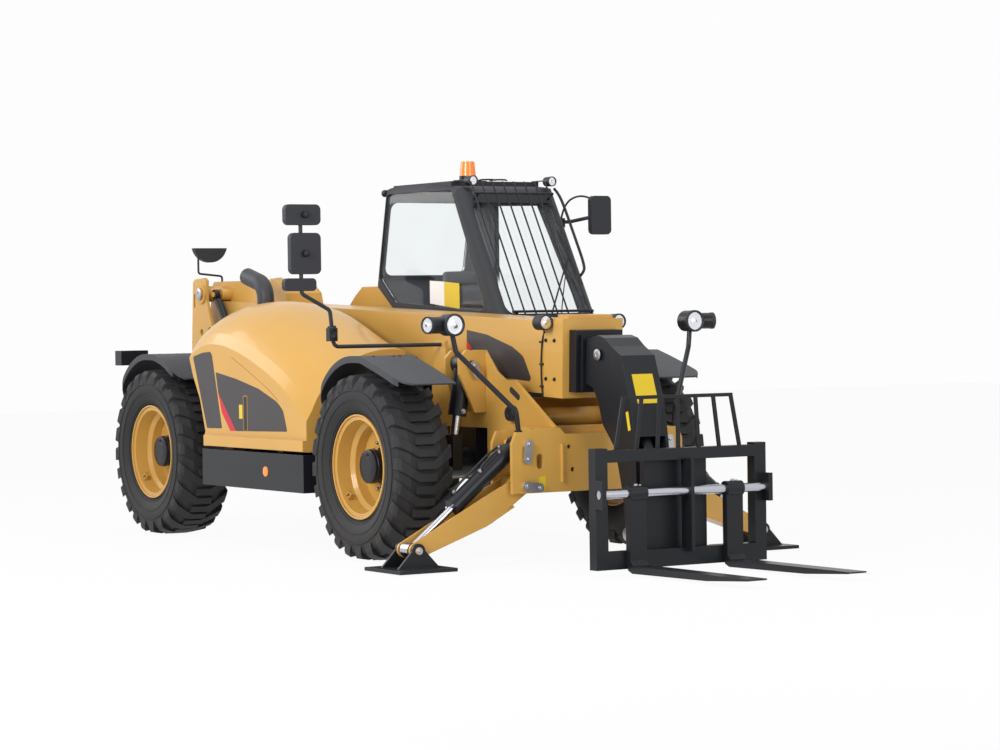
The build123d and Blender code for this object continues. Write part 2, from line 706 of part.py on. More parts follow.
head_outline = [
    (1120, 1398), (1249, 1420), (1320, 1403), (1394, 1351), (1500, 1295), (1600, 1012),
    (1640, 760), (1652, 500), (1670, 215), (1650, 165), (1600, 140), (1550, 165), (1530, 215),
    (1500, 450), (1423, 725), (1292, 866), (1240, 1016), (1185, 1095), (1105, 1120),
]
head_inner = [
    (1140, 1370), (1245, 1392), (1310, 1378), (1380, 1332), (1480, 1280), (1575, 1010),
    (1612, 800), (1760, 800), (1760, 60), (1530, 60), (1530, 450), (1450, 745), (1318, 885),
    (1264, 1025), (1200, 1120), (1130, 1145),
]
with BuildPart() as head:
    plate([(fly_front, fly_bottom - 12), (fly_front + 22, fly_bottom - 12),
           (fly_front + 22, fly_top + 12), (fly_front, fly_top + 12)],
          along_boom(fly_half_width + 8), 2 * fly_half_width + 16)
    plate(head_outline, side(head_half_width), 2 * head_half_width)
    plate([(1100, 1150), (1150, 1150), (1150, 1360), (1100, 1360)], side(60), 120)
    plate(head_inner, side(head_half_width - head_plate), 2 * (head_half_width - head_plate),
          mode=Mode.SUBTRACT)
    disc(carriage_pivot, side(head_half_width), 30 + run_gap, 2 * head_half_width,
         mode=Mode.SUBTRACT)
    disc(tilt_top_pin, side(head_half_width + 12), 25, 2 * head_half_width + 24)
write(head, "boom_head")

# ---------------------------------------------------------------- cylinders
def cylinder(base, eye, plane, depth, neck, barrel_end, bore_start, rod_start, radii,
             eye_radius, eye_half):
    """Barrel and rod of one hydraulic cylinder between two points of a view.

    neck: where the full barrel begins, from the base pin; radii: barrel, rod and base pin.
    """
    barrel_radius, rod_radius, pin_radius = radii
    run = hypot(eye[0] - base[0], eye[1] - base[1])
    unit = ((eye[0] - base[0]) / run, (eye[1] - base[1]) / run)

    def at(distance):
        local = (base[0] + unit[0] * distance, base[1] + unit[1] * distance)
        return plane(depth).from_local_coords(Vector(local[0], local[1], 0))

    def bar(start, end, radius, mode=Mode.ADD):
        low, high = at(start), at(end)
        with BuildSketch(Plane(origin=low, z_dir=high - low)) as face:
            Circle(radius)
        extrude(face.sketch, amount=(high - low).length, mode=mode)

    with BuildPart() as barrel:
        with BuildSketch(plane(depth)) as face:
            with Locations(base):
                Circle(eye_radius)
        extrude(face.sketch, amount=eye_half, both=True)
        bar(eye_radius - 16, neck, min(eye_half, eye_radius) - 8)
        bar(neck, barrel_end, barrel_radius)
        bar(barrel_end - 40, barrel_end, barrel_radius + 6)
        bar(bore_start, barrel_end + 10, rod_radius + run_gap, mode=Mode.SUBTRACT)
        with BuildSketch(plane(depth)) as face:
            with Locations(base):
                Circle(pin_radius + run_gap)
        extrude(face.sketch, amount=eye_half + 20, both=True, mode=Mode.SUBTRACT)
    with BuildPart() as piston:
        bar(rod_start, run - eye_radius + 14, rod_radius)
        with BuildSketch(plane(depth)) as face:
            with Locations(eye):
                Circle(eye_radius)
        extrude(face.sketch, amount=eye_half, both=True)
    return barrel, piston


boom_plane = along_boom(0)
lift_eye_global = boom_plane.from_local_coords(Vector(*lift_eye_on_boom, 0))
lift_eye = (lift_eye_global.X - front_axle_x, lift_eye_global.Z)
lift_run = hypot(lift_eye[0] - lift_base[0], lift_eye[1] - lift_base[1])
for name, pieces in {
    "lift": cylinder(lift_base, lift_eye, side, 0, 150, 1260, 190, 260,
                     (lift_barrel_radius, lift_rod_radius, lift_pin_radius), 62, 56),
    "level": cylinder(level_top, level_foot, side, level_y, 60, 640, 80, 260, (30, 16, 20), 38,
                      18),
    "tilt": cylinder(tilt_top_pin, tilt_eye, side, 0, 40, tilt_barrel_end, 52, 135, (45, 26, 25),
                     40, 40),
}.items():
    write(pieces[0], f"{name}_barrel")
    write(pieces[1], f"{name}_rod")

# ---------------------------------------------------------------- stabilisers
for side_name, sign in sides.items():
    def front_view(x, sign=sign):
        """View from the front in which local x runs outwards on this side."""
        return Plane(origin=(front_axle_x + x, 0, 0), x_dir=(0, sign, 0), z_dir=(sign, 0, 0))

    barrel, piston = cylinder(ram_pin, tip_pin, front_view, leg_x, 60, 600, 80, 420, (54, 24, 27),
                              46, 44)
    write(barrel, f"stabiliser_barrel_{side_name}")
    write(piston, f"stabiliser_rod_{side_name}")

    outward = atan2(tip_pin[1] - leg_pin[1], tip_pin[0] - leg_pin[0])
    leg_length = hypot(tip_pin[0] - leg_pin[0], tip_pin[1] - leg_pin[1])

    def along_leg(x, sign=sign):
        """View from the front whose local x runs from the leg's pin to its tip."""
        origin = (front_axle_x + x, sign * leg_pin[0], leg_pin[1])
        return Plane(origin=origin, x_dir=(0, sign * cos(outward), sin(outward)),
                     z_dir=(sign, 0, 0))

    start = leg_x - sign * leg_half_width
    with BuildPart() as leg:
        for x in (start, start + sign * (2 * leg_half_width - leg_plate)):
            with BuildSketch(along_leg(x)) as cheek:
                Circle(62)
                with Locations((leg_length * 0.35, -22)):
                    Circle(84)
                with Locations((leg_length, 0)):
                    Circle(48)
                make_hull()
            extrude(cheek.sketch, amount=leg_plate)
        with BuildSketch(along_leg(start)) as sole:
            Polygon((100, -96), (330, -106), (leg_length - 60, -58), (leg_length - 60, -46),
                    (330, -94), (100, -84), align=None)
        extrude(sole.sketch, amount=2 * leg_half_width)
        disc((0, 0), along_leg(start), 62, 2 * leg_half_width)
        disc((0, 0), along_leg(start), leg_pin_radius + run_gap, 2 * leg_half_width,
             mode=Mode.SUBTRACT)
        for x in (start - sign * 36, start + sign * (2 * leg_half_width - leg_plate)):
            disc((leg_length, 0), along_leg(x), 24, 36 + leg_plate)
    write(leg, f"stabiliser_leg_{side_name}")

    with BuildPart() as pad:
        low, high = sorted((sign * (tip_pin[0] - 205), sign * (tip_pin[0] + 195)))
        block((leg_x - 220, low, pad_ground_gap), (leg_x + 220, high, pad_ground_gap + 22))
        for x in (start - sign * 28, start + sign * (2 * leg_half_width + 10)):
            with BuildSketch(front_view(x)) as ear:
                with BuildLine():
                    Polyline((tip_pin[0] - 45, tip_pin[1]), (tip_pin[0] - 150, 25),
                             (tip_pin[0] + 150, 25), (tip_pin[0] + 45, tip_pin[1]))
                    ThreePointArc((tip_pin[0] + 45, tip_pin[1]), (tip_pin[0], tip_pin[1] + 45),
                                  (tip_pin[0] - 45, tip_pin[1]))
                make_face()
                with Locations(tip_pin):
                    Circle(24 + run_gap, mode=Mode.SUBTRACT)
            extrude(ear.sketch, amount=18)
    write(pad, f"stabiliser_pad_{side_name}")

# ---------------------------------------------------------------- carriage and forks
with BuildPart() as carriage:
    for y in (155, -130):
        plate([(1538, 210), (1560, 160), (1600, 145), (1850, 110), (1850, 640), (1800, 640),
               (1660, 260), (1600, 275), (1560, 255)], side(y), 25)
    disc(carriage_pivot, side(165), 30, 330)
    for y in (68, -48):
        plate([(1850, 330), (1850, 640), (1700, 600), (1655, 592), (1635, 550), (1655, 505),
               (1700, 495)], side(y), 20)
    block((1840, -230, 60), (frame_back, 230, 700))
write(carriage, "fork_carriage")

shaft_x = frame_front + run_gap + fork_thickness / 2
frame_bar = 85
with BuildPart() as fork_frame:
    for sign in sides.values():
        low, high = sorted((sign * frame_half_width, sign * (frame_half_width - frame_bar)))
        block((frame_back, low, frame_bottom), (frame_front, high, frame_top))
        low, high = sorted((sign * frame_half_width, sign * (frame_half_width - 30)))
        block((frame_back, low, 400), (shaft_x + 45, high, 570))
    for low, high in ((frame_bottom, frame_bottom + 106), (672, 742)):
        block((frame_back, -frame_half_width, low), (frame_front, frame_half_width, high))
    block((frame_front - 40, 20, 120), (shaft_x + 42, 42, 680))
    disc((shaft_x, shaft_z), side(frame_half_width), shaft_radius + run_gap,
         2 * frame_half_width, mode=Mode.SUBTRACT)
    # load guard above the frame
    guard_x = frame_back + 30
    for k in range(7):
        foot = -455 + 910 * k / 6
        head = -394 + 788 * k / 6
        wide = 13
        plate([(foot - wide, 740), (foot + wide, 740), (head + wide, 1050), (head - wide, 1050)],
              across(guard_x), 10)
    block((guard_x, -407, 1040), (guard_x + 10, 407, 1062))
write(fork_frame, "fork_frame")

with BuildPart() as shaft:
    disc((shaft_x, shaft_z), side(frame_half_width - 5), shaft_radius, 2 * frame_half_width - 10)
write(shaft, "fork_shaft")

with BuildPart() as forks:
    back = shaft_x - fork_thickness / 2
    front = back + fork_thickness
    low = fork_ground_gap
    for y in (fork_y + fork_width / 2, -fork_y + fork_width / 2):
        plate([(back, shaft_z), (back, low + 60), (back + 18, low + 16), (back + 60, low),
               (fork_tip - 420, low + 8), (fork_tip - 20, low + 33), (fork_tip, low + 38),
               (fork_tip, low + fork_thickness), (front + 30, low + fork_thickness),
               (front, low + fork_thickness + 30), (front, shaft_z)], side(y), fork_width)
        disc((shaft_x, shaft_z), side(y), 46, fork_width)
        disc((shaft_x, shaft_z), side(y), shaft_radius + run_gap, fork_width, mode=Mode.SUBTRACT)
write(forks, "forks")

# ---------------------------------------------------------------- cab
cab_rear_foot, cab_rear_top = (-2214, 1815), (-2068, 2478)
screen_top, screen_foot = (-1016, 2440), (-470, 1520)
cab_profile = [
    (-1900, outrigger_z[1]), (-1930, 1600), (-2190, 1787), cab_rear_foot, cab_rear_top,
    (-1480, 2484), screen_top, screen_foot, (-455, 1400), (-520, 1290), (-690, 1040),
    (-700, outrigger_z[1]),
]
cab_top_round = 130
cab_long_edges = [  # two points of a profile line, rounding of its edges with the side walls
    (cab_rear_foot, cab_rear_top, 80),
    (cab_rear_top, (-1480, 2484), 60),
    ((-1480, 2484), screen_top, 60),
    (screen_top, screen_foot, 90),
]
right_window = [(-2146, 1842), (-2014, 2428), (-1115, 2420), (-660, 1572), (-1925, 1655)]
window_round = 60
door_outline = [
    (-1850, 745), (-760, 745), (-755, 1060), (-600, 1300), (-560, 1420), (-600, 1570),
    (-1170, 2390), (-1850, 2410),
]
door_window = [
    (-1780, 1250), (-690, 1300), (-640, 1420), (-680, 1560), (-1205, 2320), (-1780, 2340),
]
windscreen_z = (1560, 2330)
rear_window_z = (1850, 2370)


def long_edge_cutters(start, end, radius, inset):
    """Takes the cab's two long edges along one profile line down to a quarter round."""
    run = Vector(end[0] - start[0], 0, end[1] - start[1])
    centre = run.normalized() * -200
    section = Plane(origin=ahead((start[0], 0, start[1])) + centre, x_dir=(0, 1, 0), z_dir=run)
    for y, out in ((cab_left, 1), (cab_right, -1)):
        with BuildSketch(section) as corner:
            with Locations((y - out * (radius / 2 - 10), -radius / 2 + 10)):
                Rectangle(radius + 20, radius + 20)
            with Locations((y - out * radius, -radius)):
                Circle(radius - inset, mode=Mode.SUBTRACT)
        extrude(corner.sketch, amount=run.length + 400, mode=Mode.SUBTRACT)


def cab_form(inset):
    """The cab's outer form drawn inwards by inset on every side."""
    with BuildPart(mode=Mode.PRIVATE) as form:
        with BuildSketch(side(cab_left - inset)) as face:
            Polygon(*cab_profile, align=None)
            tops = [v for v in face.vertices()
                    if min(hypot(v.X - x, v.Y - z) for x, z in (cab_rear_top, screen_top)) < 1]
            fillet(tops, cab_top_round)
            if inset:
                offset(amount=-inset, kind=Kind.INTERSECTION)
        extrude(face.sketch, amount=cab_left - cab_right - 2 * inset)
        for start, end, radius in cab_long_edges:
            long_edge_cutters(start, end, radius, inset)
        block((-2300, cab_right - 10, 600), (0, cab_low_right + inset, cab_step_z + inset),
              mode=Mode.SUBTRACT)
    return form.part


def cab_openings(gap):
    """Cutters for the cab's windows, each drawn inwards by gap."""
    with BuildPart(mode=Mode.PRIVATE) as cutters:
        with BuildSketch(side(cab_right + cab_wall)) as face:
            Polygon(*right_window, align=None)
            fillet(face.vertices(), window_round)
            if gap:
                offset(amount=-gap)
        extrude(face.sketch, amount=cab_wall + 20)
        wide = windscreen_y[1] - windscreen_y[0] - 2 * gap
        for x0, x1, low, high in ((-1300, -300, *windscreen_z), (-2300, -1950, *rear_window_z)):
            with BuildSketch(across(x0)) as face:
                with Locations((sum(windscreen_y) / 2, (low + high) / 2)):
                    RectangleRounded(wide, high - low - 2 * gap, window_round - gap)
            extrude(face.sketch, amount=x1 - x0)
    return cutters.part


with BuildPart() as cab:
    add(cab_form(0))
    add(cab_form(cab_wall), mode=Mode.SUBTRACT)
    add(cab_openings(0), mode=Mode.SUBTRACT)
    plate(door_outline, side(cab_left + 5), cab_wall + 10, mode=Mode.SUBTRACT)
    block((-1980, 290, 2440), (-1180, 1010, roof_top))
    for z in door_hinge_z:
        block((-1890, cab_left, z - 30), (-1842, door_hinge[1] + 10, z - 2))
        disc(door_hinge, level(z - 30), 6, 58)
write(cab, "cab_frame")

with BuildPart() as panes:
    add(cab_form(glass_depth))
    add(cab_form(glass_depth + glass_thickness), mode=Mode.SUBTRACT)
    add(cab_openings(run_gap), mode=Mode.INTERSECT)
write(panes, "cab_glass")

with BuildPart() as door:
    with BuildSketch(side(cab_left)) as face:
        Polygon(*door_outline, align=None)
        offset(amount=-door_gap, kind=Kind.INTERSECTION)
        Polygon(*door_window, align=None, mode=Mode.SUBTRACT)
    extrude(face.sketch, amount=cab_wall)
    for z in door_hinge_z:
        disc(door_hinge, level(z), 12, 28)
        block((-1846, cab_left - 2, z), (-1790, cab_left + 14, z + 28))
        disc(door_hinge, level(z), 6 + run_gap, 28, mode=Mode.SUBTRACT)
write(door, "cab_door")

with BuildPart() as door_pane:
    with BuildSketch(side(cab_left - glass_depth)) as face:
        Polygon(*door_window, align=None)
        offset(amount=-run_gap, kind=Kind.INTERSECTION)
    extrude(face.sketch, amount=glass_thickness)
write(door_pane, "door_glass")

cab_floor = outrigger_z[1] + cab_wall
with BuildPart() as seat:
    block((-1700, 470, cab_floor), (-1330, 850, 1020))
    plate([(-1740, 1020), (-1240, 1020), (-1225, 1090), (-1260, 1140), (-1640, 1120),
           (-1650, 1500), (-1680, 1840), (-1730, 1880), (-1790, 1840), (-1760, 1300)],
          side(890), 460)
write(seat, "cab_seat")

with BuildPart() as console:
    block((-900, 470, cab_floor), (-745, 830, 1100))
    rod((-850, 650, 1090), (-1000, 650, 1420), 30)
    wheel_normal = Vector(-150, 0, 330)
    with Locations(Plane(origin=ahead((-1000, 650, 1420)), z_dir=wheel_normal)):
        Torus(170, 14)
        Cylinder(34, 20)
        Box(330, 24, 12)
write(console, "cab_console")

guard_ahead = (60, 36)
guard_y = [312 + 87 * k for k in range(8)]
with BuildPart() as window_guard:
    top = (screen_top[0] + guard_ahead[0], screen_top[1] + guard_ahead[1])
    foot = (screen_foot[0] + guard_ahead[0], screen_foot[1] + guard_ahead[1])
    for y in guard_y:
        rod((foot[0], y, foot[1]), (top[0], y, top[1]), 6)
    for share in (0.02, 0.91):
        x = foot[0] + (top[0] - foot[0]) * share
        z = foot[1] + (top[1] - foot[1]) * share
        rod((x, guard_y[0] - 8, z), (x, guard_y[-1] + 32, z), 9)
        for y in (cab_right + 98, cab_left - 98):
            rod((x, y, z), (x - guard_ahead[0] + 0.4, y, z - guard_ahead[1] + 0.3), 9)
write(window_guard, "window_guard")

# ---------------------------------------------------------------- lamps and mirrors
lamp_at = (784, 907, 1497)
with BuildPart() as work_lamps:
    for sign in sides.values():
        low, high = sorted((sign * 565, sign * 605))
        block((1030, low, 832), (1056, high, 842))
        bent_tube([(1043, sign * 585, 842), (1043, sign * 600, 960), (800, sign * 880, 1330),
                   (lamp_at[0], sign * lamp_at[1], lamp_at[2])], 50, 16)
        rod((lamp_at[0] - 50, sign * lamp_at[1], lamp_at[2]),
            (lamp_at[0] + 50, sign * lamp_at[1], lamp_at[2]), 68)
        # second lamp turned outwards
        rod((lamp_at[0] - 20, sign * (lamp_at[1] + 50), lamp_at[2]),
            (lamp_at[0] + 10, sign * (lamp_at[1] + 165), lamp_at[2]), 52)
    # rear lamps on their beams
    for sign in sides.values():
        low, high = sorted((sign * 800, sign * 1020))
        block((pivot[0] - 90, low, 1215), (pivot[0] + 20, high, 1325))
    # work lamps and beacon on the cab's roof
    for y in (350, 995):
        block((-1230, y - 12, roof_top), (-1190, y + 12, roof_top + 8))
        block((-1190, y - 12, roof_top), (-1010, y + 12, roof_top + 8))
        rod((-1050, y, 2483), (-985, y, 2483), 34)
    block((-1390, 410, roof_top), (-1210, 600, roof_top + 6))
    rod((-1300, 500, roof_top), (-1300, 500, 2530), 60)
    rod((-1300, 500, 2530), (-1300, 500, 2630), 48)
write(work_lamps, "work_lamps")

with BuildPart() as mirrors:
    bent_tube([(-300, -plate_outer, 1365), (-300, -1135, 1365), (-300, -1160, 1600),
               (-300, -1365, 1708), (-300, -1365, 2260)], 40, 13)
    for y, z, wide, high, corner in ((-1352, 2213, 254, 133, 35), (-1335, 1965, 218, 265, 35),
                                     (-1376, 1766, 228, 82, 28)):
        with BuildSketch(across(-330)) as head:
            with Locations((y, z)):
                RectangleRounded(wide, high, corner)
        extrude(head.sketch, amount=45)
    bent_tube([(-990, cab_left, 2200), (-990, 1140, 2200), (-880, 1250, 2230),
               (-750, 1250, 2230)], 30, 13)
    with BuildSketch(across(-790)) as head:
        with Locations((1250, 2240)):
            RectangleRounded(165, 270, 35)
    extrude(head.sketch, amount=45)
write(mirrors, "side_mirrors")

with BuildPart() as boom_lamps:
    for sign in sides.values():
        low, high = sorted((sign * (boom_half_width + 20), sign * (boom_half_width + 40)))
        block((835, low, 1485), (865, high, 1520))
        rod((810, sign * 277, 1503), (890, sign * 277, 1503), 48)
write(boom_lamps, "boom_lamps")

with BuildPart() as rear_mirror:
    stem = pivot[0] - 145
    bent_tube([(stem, -90, 1837.8), (stem, -90, 1880), (stem, -290, 1900), (stem, -290, 2040)],
              20, 8)
    with BuildSketch(across(stem - 40)) as face:
        with BuildLine():
            Line((-325, 2095), (-50, 2095))
            ThreePointArc((-50, 2095), (-187, 1985), (-325, 2095))
        make_face()
    extrude(face.sketch, amount=50)
write(rear_mirror, "rear_mirror")
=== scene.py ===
# %% [markdown]
# This script dresses the solid model of a telehandler: a lifting machine with a telescopic boom,
# four equal wheels, a cab on the left and an engine on the right. The solids arrive as a frame
# that is never moved. Each step adds a finish or a small piece that the solids leave out.

# %% Load the frame
import json
import math

import bmesh
import bpy
from mathutils import Matrix, Vector


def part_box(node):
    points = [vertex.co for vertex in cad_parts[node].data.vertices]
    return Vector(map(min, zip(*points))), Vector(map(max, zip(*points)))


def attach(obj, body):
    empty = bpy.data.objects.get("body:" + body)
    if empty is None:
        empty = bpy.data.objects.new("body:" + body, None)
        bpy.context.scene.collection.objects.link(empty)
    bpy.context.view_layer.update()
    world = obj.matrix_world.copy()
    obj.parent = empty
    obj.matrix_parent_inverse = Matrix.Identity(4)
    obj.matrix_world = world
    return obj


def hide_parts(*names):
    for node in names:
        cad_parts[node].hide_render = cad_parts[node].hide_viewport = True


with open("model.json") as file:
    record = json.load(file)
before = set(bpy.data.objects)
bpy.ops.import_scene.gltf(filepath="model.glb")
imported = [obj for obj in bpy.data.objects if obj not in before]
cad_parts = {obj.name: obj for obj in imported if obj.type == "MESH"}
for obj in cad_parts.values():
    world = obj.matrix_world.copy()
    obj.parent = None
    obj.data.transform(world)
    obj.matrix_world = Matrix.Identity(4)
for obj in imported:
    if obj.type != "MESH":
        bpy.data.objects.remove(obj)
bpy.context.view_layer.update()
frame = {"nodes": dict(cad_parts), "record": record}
joints = {joint["name"]: joint for joint in frame["record"]["behaviour"]["joints"]}
wheel_hub = Vector(joints["spin_front_right"]["pos_m"])
wheelbase = wheel_hub.x - joints["spin_rear_right"]["pos_m"][0]
mm = 0.001
sides = {"right": -1, "left": 1}
print("front axle at", round(wheel_hub.x, 3), "m; wheelbase", round(wheelbase, 3), "m")


def at(ahead, left, up):
    """A point in millimetres ahead of the front axle, left of the middle and above ground."""
    return Vector((wheel_hub.x + ahead * mm, left * mm, up * mm))


# %% [markdown]
# Paint on a real machine is never one flat colour: it has a faint mottle, a fine orange peel and
# small roughness changes. Several finishes need that, so it is one node group with its own
# inputs. Noise in object coordinates keeps the pattern the same size on every piece.

# %% A group for mottled surfaces
def new_group(name, inputs, outputs):
    """An empty shader group with the given sockets, and its input and output nodes."""
    tree = bpy.data.node_groups.new(name, "ShaderNodeTree")
    for label, kind, value in inputs:
        socket = tree.interface.new_socket(label, in_out="INPUT", socket_type=kind)
        socket.default_value = value
    for label, kind in outputs:
        tree.interface.new_socket(label, in_out="OUTPUT", socket_type=kind)
    return tree, tree.nodes.new("NodeGroupInput"), tree.nodes.new("NodeGroupOutput")


def math_node(tree, operation, first, second, clamp=False):
    """A Math node fed by sockets or plain numbers; returns its output socket."""
    node = tree.nodes.new("ShaderNodeMath")
    node.operation = operation
    node.use_clamp = clamp
    for place, value in enumerate((first, second)):
        if isinstance(value, (int, float)):
            node.inputs[place].default_value = value
        else:
            tree.links.new(value, node.inputs[place])
    return node.outputs[0]


def mix_colour(tree, share, first, second):
    """A colour mix; share, first and second are sockets or plain values."""
    node = tree.nodes.new("ShaderNodeMix")
    node.data_type = "RGBA"
    for place, value in ((0, share), (6, first), (7, second)):
        if hasattr(value, "is_output"):
            tree.links.new(value, node.inputs[place])
        elif isinstance(value, (int, float)):
            node.inputs[place].default_value = value
        else:
            node.inputs[place].default_value = (*value[:3], 1)
    return node.outputs[2]


def noise(tree, coordinates, scale, detail=4.0):
    """A noise pattern; scale is a socket or a number of features in a metre."""
    node = tree.nodes.new("ShaderNodeTexNoise")
    node.inputs["Detail"].default_value = detail
    tree.links.new(coordinates, node.inputs["Vector"])
    if isinstance(scale, (int, float)):
        node.inputs["Scale"].default_value = scale
    else:
        tree.links.new(scale, node.inputs["Scale"])
    return node.outputs["Fac"]


mottle, given, result = new_group(
    "mottled surface",
    [("Colour", "NodeSocketColor", (0.5, 0.5, 0.5, 1)), ("Mottle", "NodeSocketFloat", 0.1),
     ("Patch size", "NodeSocketFloat", 3.0), ("Roughness", "NodeSocketFloat", 0.4),
     ("Roughness spread", "NodeSocketFloat", 0.1), ("Grain size", "NodeSocketFloat", 900.0)],
    [("Colour", "NodeSocketColor"), ("Roughness", "NodeSocketFloat"),
     ("Height", "NodeSocketFloat")])
coordinates = mottle.nodes.new("ShaderNodeTexCoord").outputs["Object"]
patches = noise(mottle, coordinates, given.outputs["Patch size"])
grain = noise(mottle, coordinates, given.outputs["Grain size"], 2.0)
darker = math_node(mottle, "MULTIPLY", patches, given.outputs["Mottle"])
mottle.links.new(mix_colour(mottle, darker, given.outputs["Colour"], (0, 0, 0)),
                 result.inputs["Colour"])
change = math_node(mottle, "MULTIPLY", math_node(mottle, "SUBTRACT", patches, 0.5),
                   given.outputs["Roughness spread"])
mottle.links.new(math_node(mottle, "ADD", change, given.outputs["Roughness"], True),
                 result.inputs["Roughness"])
mottle.links.new(grain, result.inputs["Height"])

# %% [markdown]
# Dust gathers low down on a machine, most on tyres and side boxes. The dust group mixes a pale
# earth colour in by height above the ground, broken up by noise, and is shared by the finishes
# that sit near the ground.

# %% A group for dust near the ground
dust, given, result = new_group(
    "road dust",
    [("Colour", "NodeSocketColor", (0.5, 0.5, 0.5, 1)),
     ("Dust colour", "NodeSocketColor", (0.20, 0.16, 0.11, 1)),
     ("Amount", "NodeSocketFloat", 0.2), ("Reach", "NodeSocketFloat", 0.8)],
    [("Colour", "NodeSocketColor"), ("Mask", "NodeSocketFloat")])
coordinates = dust.nodes.new("ShaderNodeTexCoord").outputs["Object"]
split = dust.nodes.new("ShaderNodeSeparateXYZ")
dust.links.new(coordinates, split.inputs[0])
low_share = math_node(dust, "SUBTRACT", 1.0,
                      math_node(dust, "DIVIDE", split.outputs["Z"], given.outputs["Reach"]), True)
cloud = noise(dust, coordinates, 7.0, 6.0)
mask = math_node(dust, "MULTIPLY", math_node(dust, "MULTIPLY", low_share, cloud),
                 given.outputs["Amount"], True)
dust.links.new(mix_colour(dust, mask, given.outputs["Colour"], given.outputs["Dust colour"]),
               result.inputs["Colour"])
dust.links.new(mask, result.inputs["Mask"])

# %% [markdown]
# Real edges are never sharp: they are rolled, ground or thick with paint, and they catch light.
# The soft edge group reads a Bevel node, which rounds the shading of an edge without touching
# the mesh, and each finish chooses its own radius.

# %% A group for soft edges
soft_edge, given, result = new_group(
    "soft edge", [("Radius", "NodeSocketFloat", 0.003)], [("Normal", "NodeSocketVector")])
rounding = soft_edge.nodes.new("ShaderNodeBevel")
rounding.samples = 4
soft_edge.links.new(given.outputs["Radius"], rounding.inputs["Radius"])
soft_edge.links.new(rounding.outputs["Normal"], result.inputs["Normal"])

# %% Make the finishes
finishes = {}


def add_finish(name, colour, roughness, metallic=0.0, coat=0.0, mottling=0.12, patch=3.0,
               spread=0.1, grain_size=900.0, relief=0.02, edge=0.003, dusty=0.0, glow=None,
               specular=0.3):
    """A material on the Principled shader, fed by the shared groups."""
    material = bpy.data.materials.new(name)
    material.use_nodes = True
    tree = material.node_tree
    shader = tree.nodes["Principled BSDF"]
    shader.inputs["Metallic"].default_value = metallic
    shader.inputs["Coat Weight"].default_value = coat
    shader.inputs["Specular IOR Level"].default_value = specular
    surface = tree.nodes.new("ShaderNodeGroup")
    surface.node_tree = mottle
    surface.inputs["Colour"].default_value = (*colour, 1)
    surface.inputs["Mottle"].default_value = mottling
    surface.inputs["Patch size"].default_value = patch
    surface.inputs["Roughness"].default_value = roughness
    surface.inputs["Roughness spread"].default_value = spread
    surface.inputs["Grain size"].default_value = grain_size
    tint = surface.outputs["Colour"]
    if dusty:
        layer = tree.nodes.new("ShaderNodeGroup")
        layer.node_tree = dust
        layer.inputs["Amount"].default_value = dusty
        tree.links.new(tint, layer.inputs["Colour"])
        tint = layer.outputs["Colour"]
    tree.links.new(tint, shader.inputs["Base Color"])
    tree.links.new(surface.outputs["Roughness"], shader.inputs["Roughness"])
    bump = tree.nodes.new("ShaderNodeBump")
    bump.inputs["Strength"].default_value = relief
    bump.inputs["Distance"].default_value = 0.002
    tree.links.new(surface.outputs["Height"], bump.inputs["Height"])
    if edge:
        rounded = tree.nodes.new("ShaderNodeGroup")
        rounded.node_tree = soft_edge
        rounded.inputs["Radius"].default_value = edge
        tree.links.new(rounded.outputs["Normal"], bump.inputs["Normal"])
    tree.links.new(bump.outputs["Normal"], shader.inputs["Normal"])
    if glow:
        shader.inputs["Emission Color"].default_value = (*glow, 1)
        shader.inputs["Emission Strength"].default_value = 0.25
    finishes[name] = material
    return material


def add_glass(name, colour, transmission=1.0, roughness=0.02):
    """A see-through finish that lets lamplight through to what is behind it."""
    material = bpy.data.materials.new(name)
    material.use_nodes = True
    tree = material.node_tree
    shader = tree.nodes["Principled BSDF"]
    shader.inputs["Transmission Weight"].default_value = transmission
    shader.inputs["IOR"].default_value = 1.2
    surface = tree.nodes.new("ShaderNodeGroup")
    surface.node_tree = mottle
    surface.inputs["Colour"].default_value = (*colour, 1)
    surface.inputs["Mottle"].default_value = 0.03
    surface.inputs["Roughness"].default_value = roughness
    surface.inputs["Roughness spread"].default_value = 0.01
    tree.links.new(surface.outputs["Colour"], shader.inputs["Base Color"])
    tree.links.new(surface.outputs["Roughness"], shader.inputs["Roughness"])
    clear = tree.nodes.new("ShaderNodeBsdfTransparent")
    clear.inputs["Color"].default_value = (*colour, 1)
    ray = tree.nodes.new("ShaderNodeLightPath")
    blend = tree.nodes.new("ShaderNodeMixShader")
    tree.links.new(ray.outputs["Is Shadow Ray"], blend.inputs["Fac"])
    tree.links.new(shader.outputs[0], blend.inputs[1])
    tree.links.new(clear.outputs[0], blend.inputs[2])
    tree.links.new(blend.outputs[0], tree.nodes["Material Output"].inputs["Surface"])
    finishes[name] = material
    return material


add_finish("machine yellow", (0.55, 0.305, 0.066), 0.34, coat=0.2, edge=0.005,
           dusty=0.1)
add_finish("satin black", (0.010, 0.011, 0.014), 0.34, relief=0.04, edge=0.004,
           specular=0.25)
add_finish("polished chrome", (0.50, 0.51, 0.56), 0.24, metallic=1.0, edge=0)
add_finish("zinc plate", (0.42, 0.42, 0.44), 0.38, metallic=1.0, spread=0.2,
           patch=40.0)
add_finish("tyre rubber", (0.017, 0.017, 0.019), 0.66, relief=0.25,
           grain_size=260.0, edge=0.006, dusty=0.10, mottling=0.25, patch=9.0)
add_finish("moulded plastic", (0.020, 0.021, 0.026), 0.55, relief=0.12,
           grain_size=1400.0)
add_finish("fender plastic", (0.032, 0.034, 0.041), 0.5, relief=0.12,
           grain_size=1200.0, edge=0.004)
add_finish("engine casting", (0.10, 0.10, 0.10), 0.6, relief=0.3,
           grain_size=200.0)
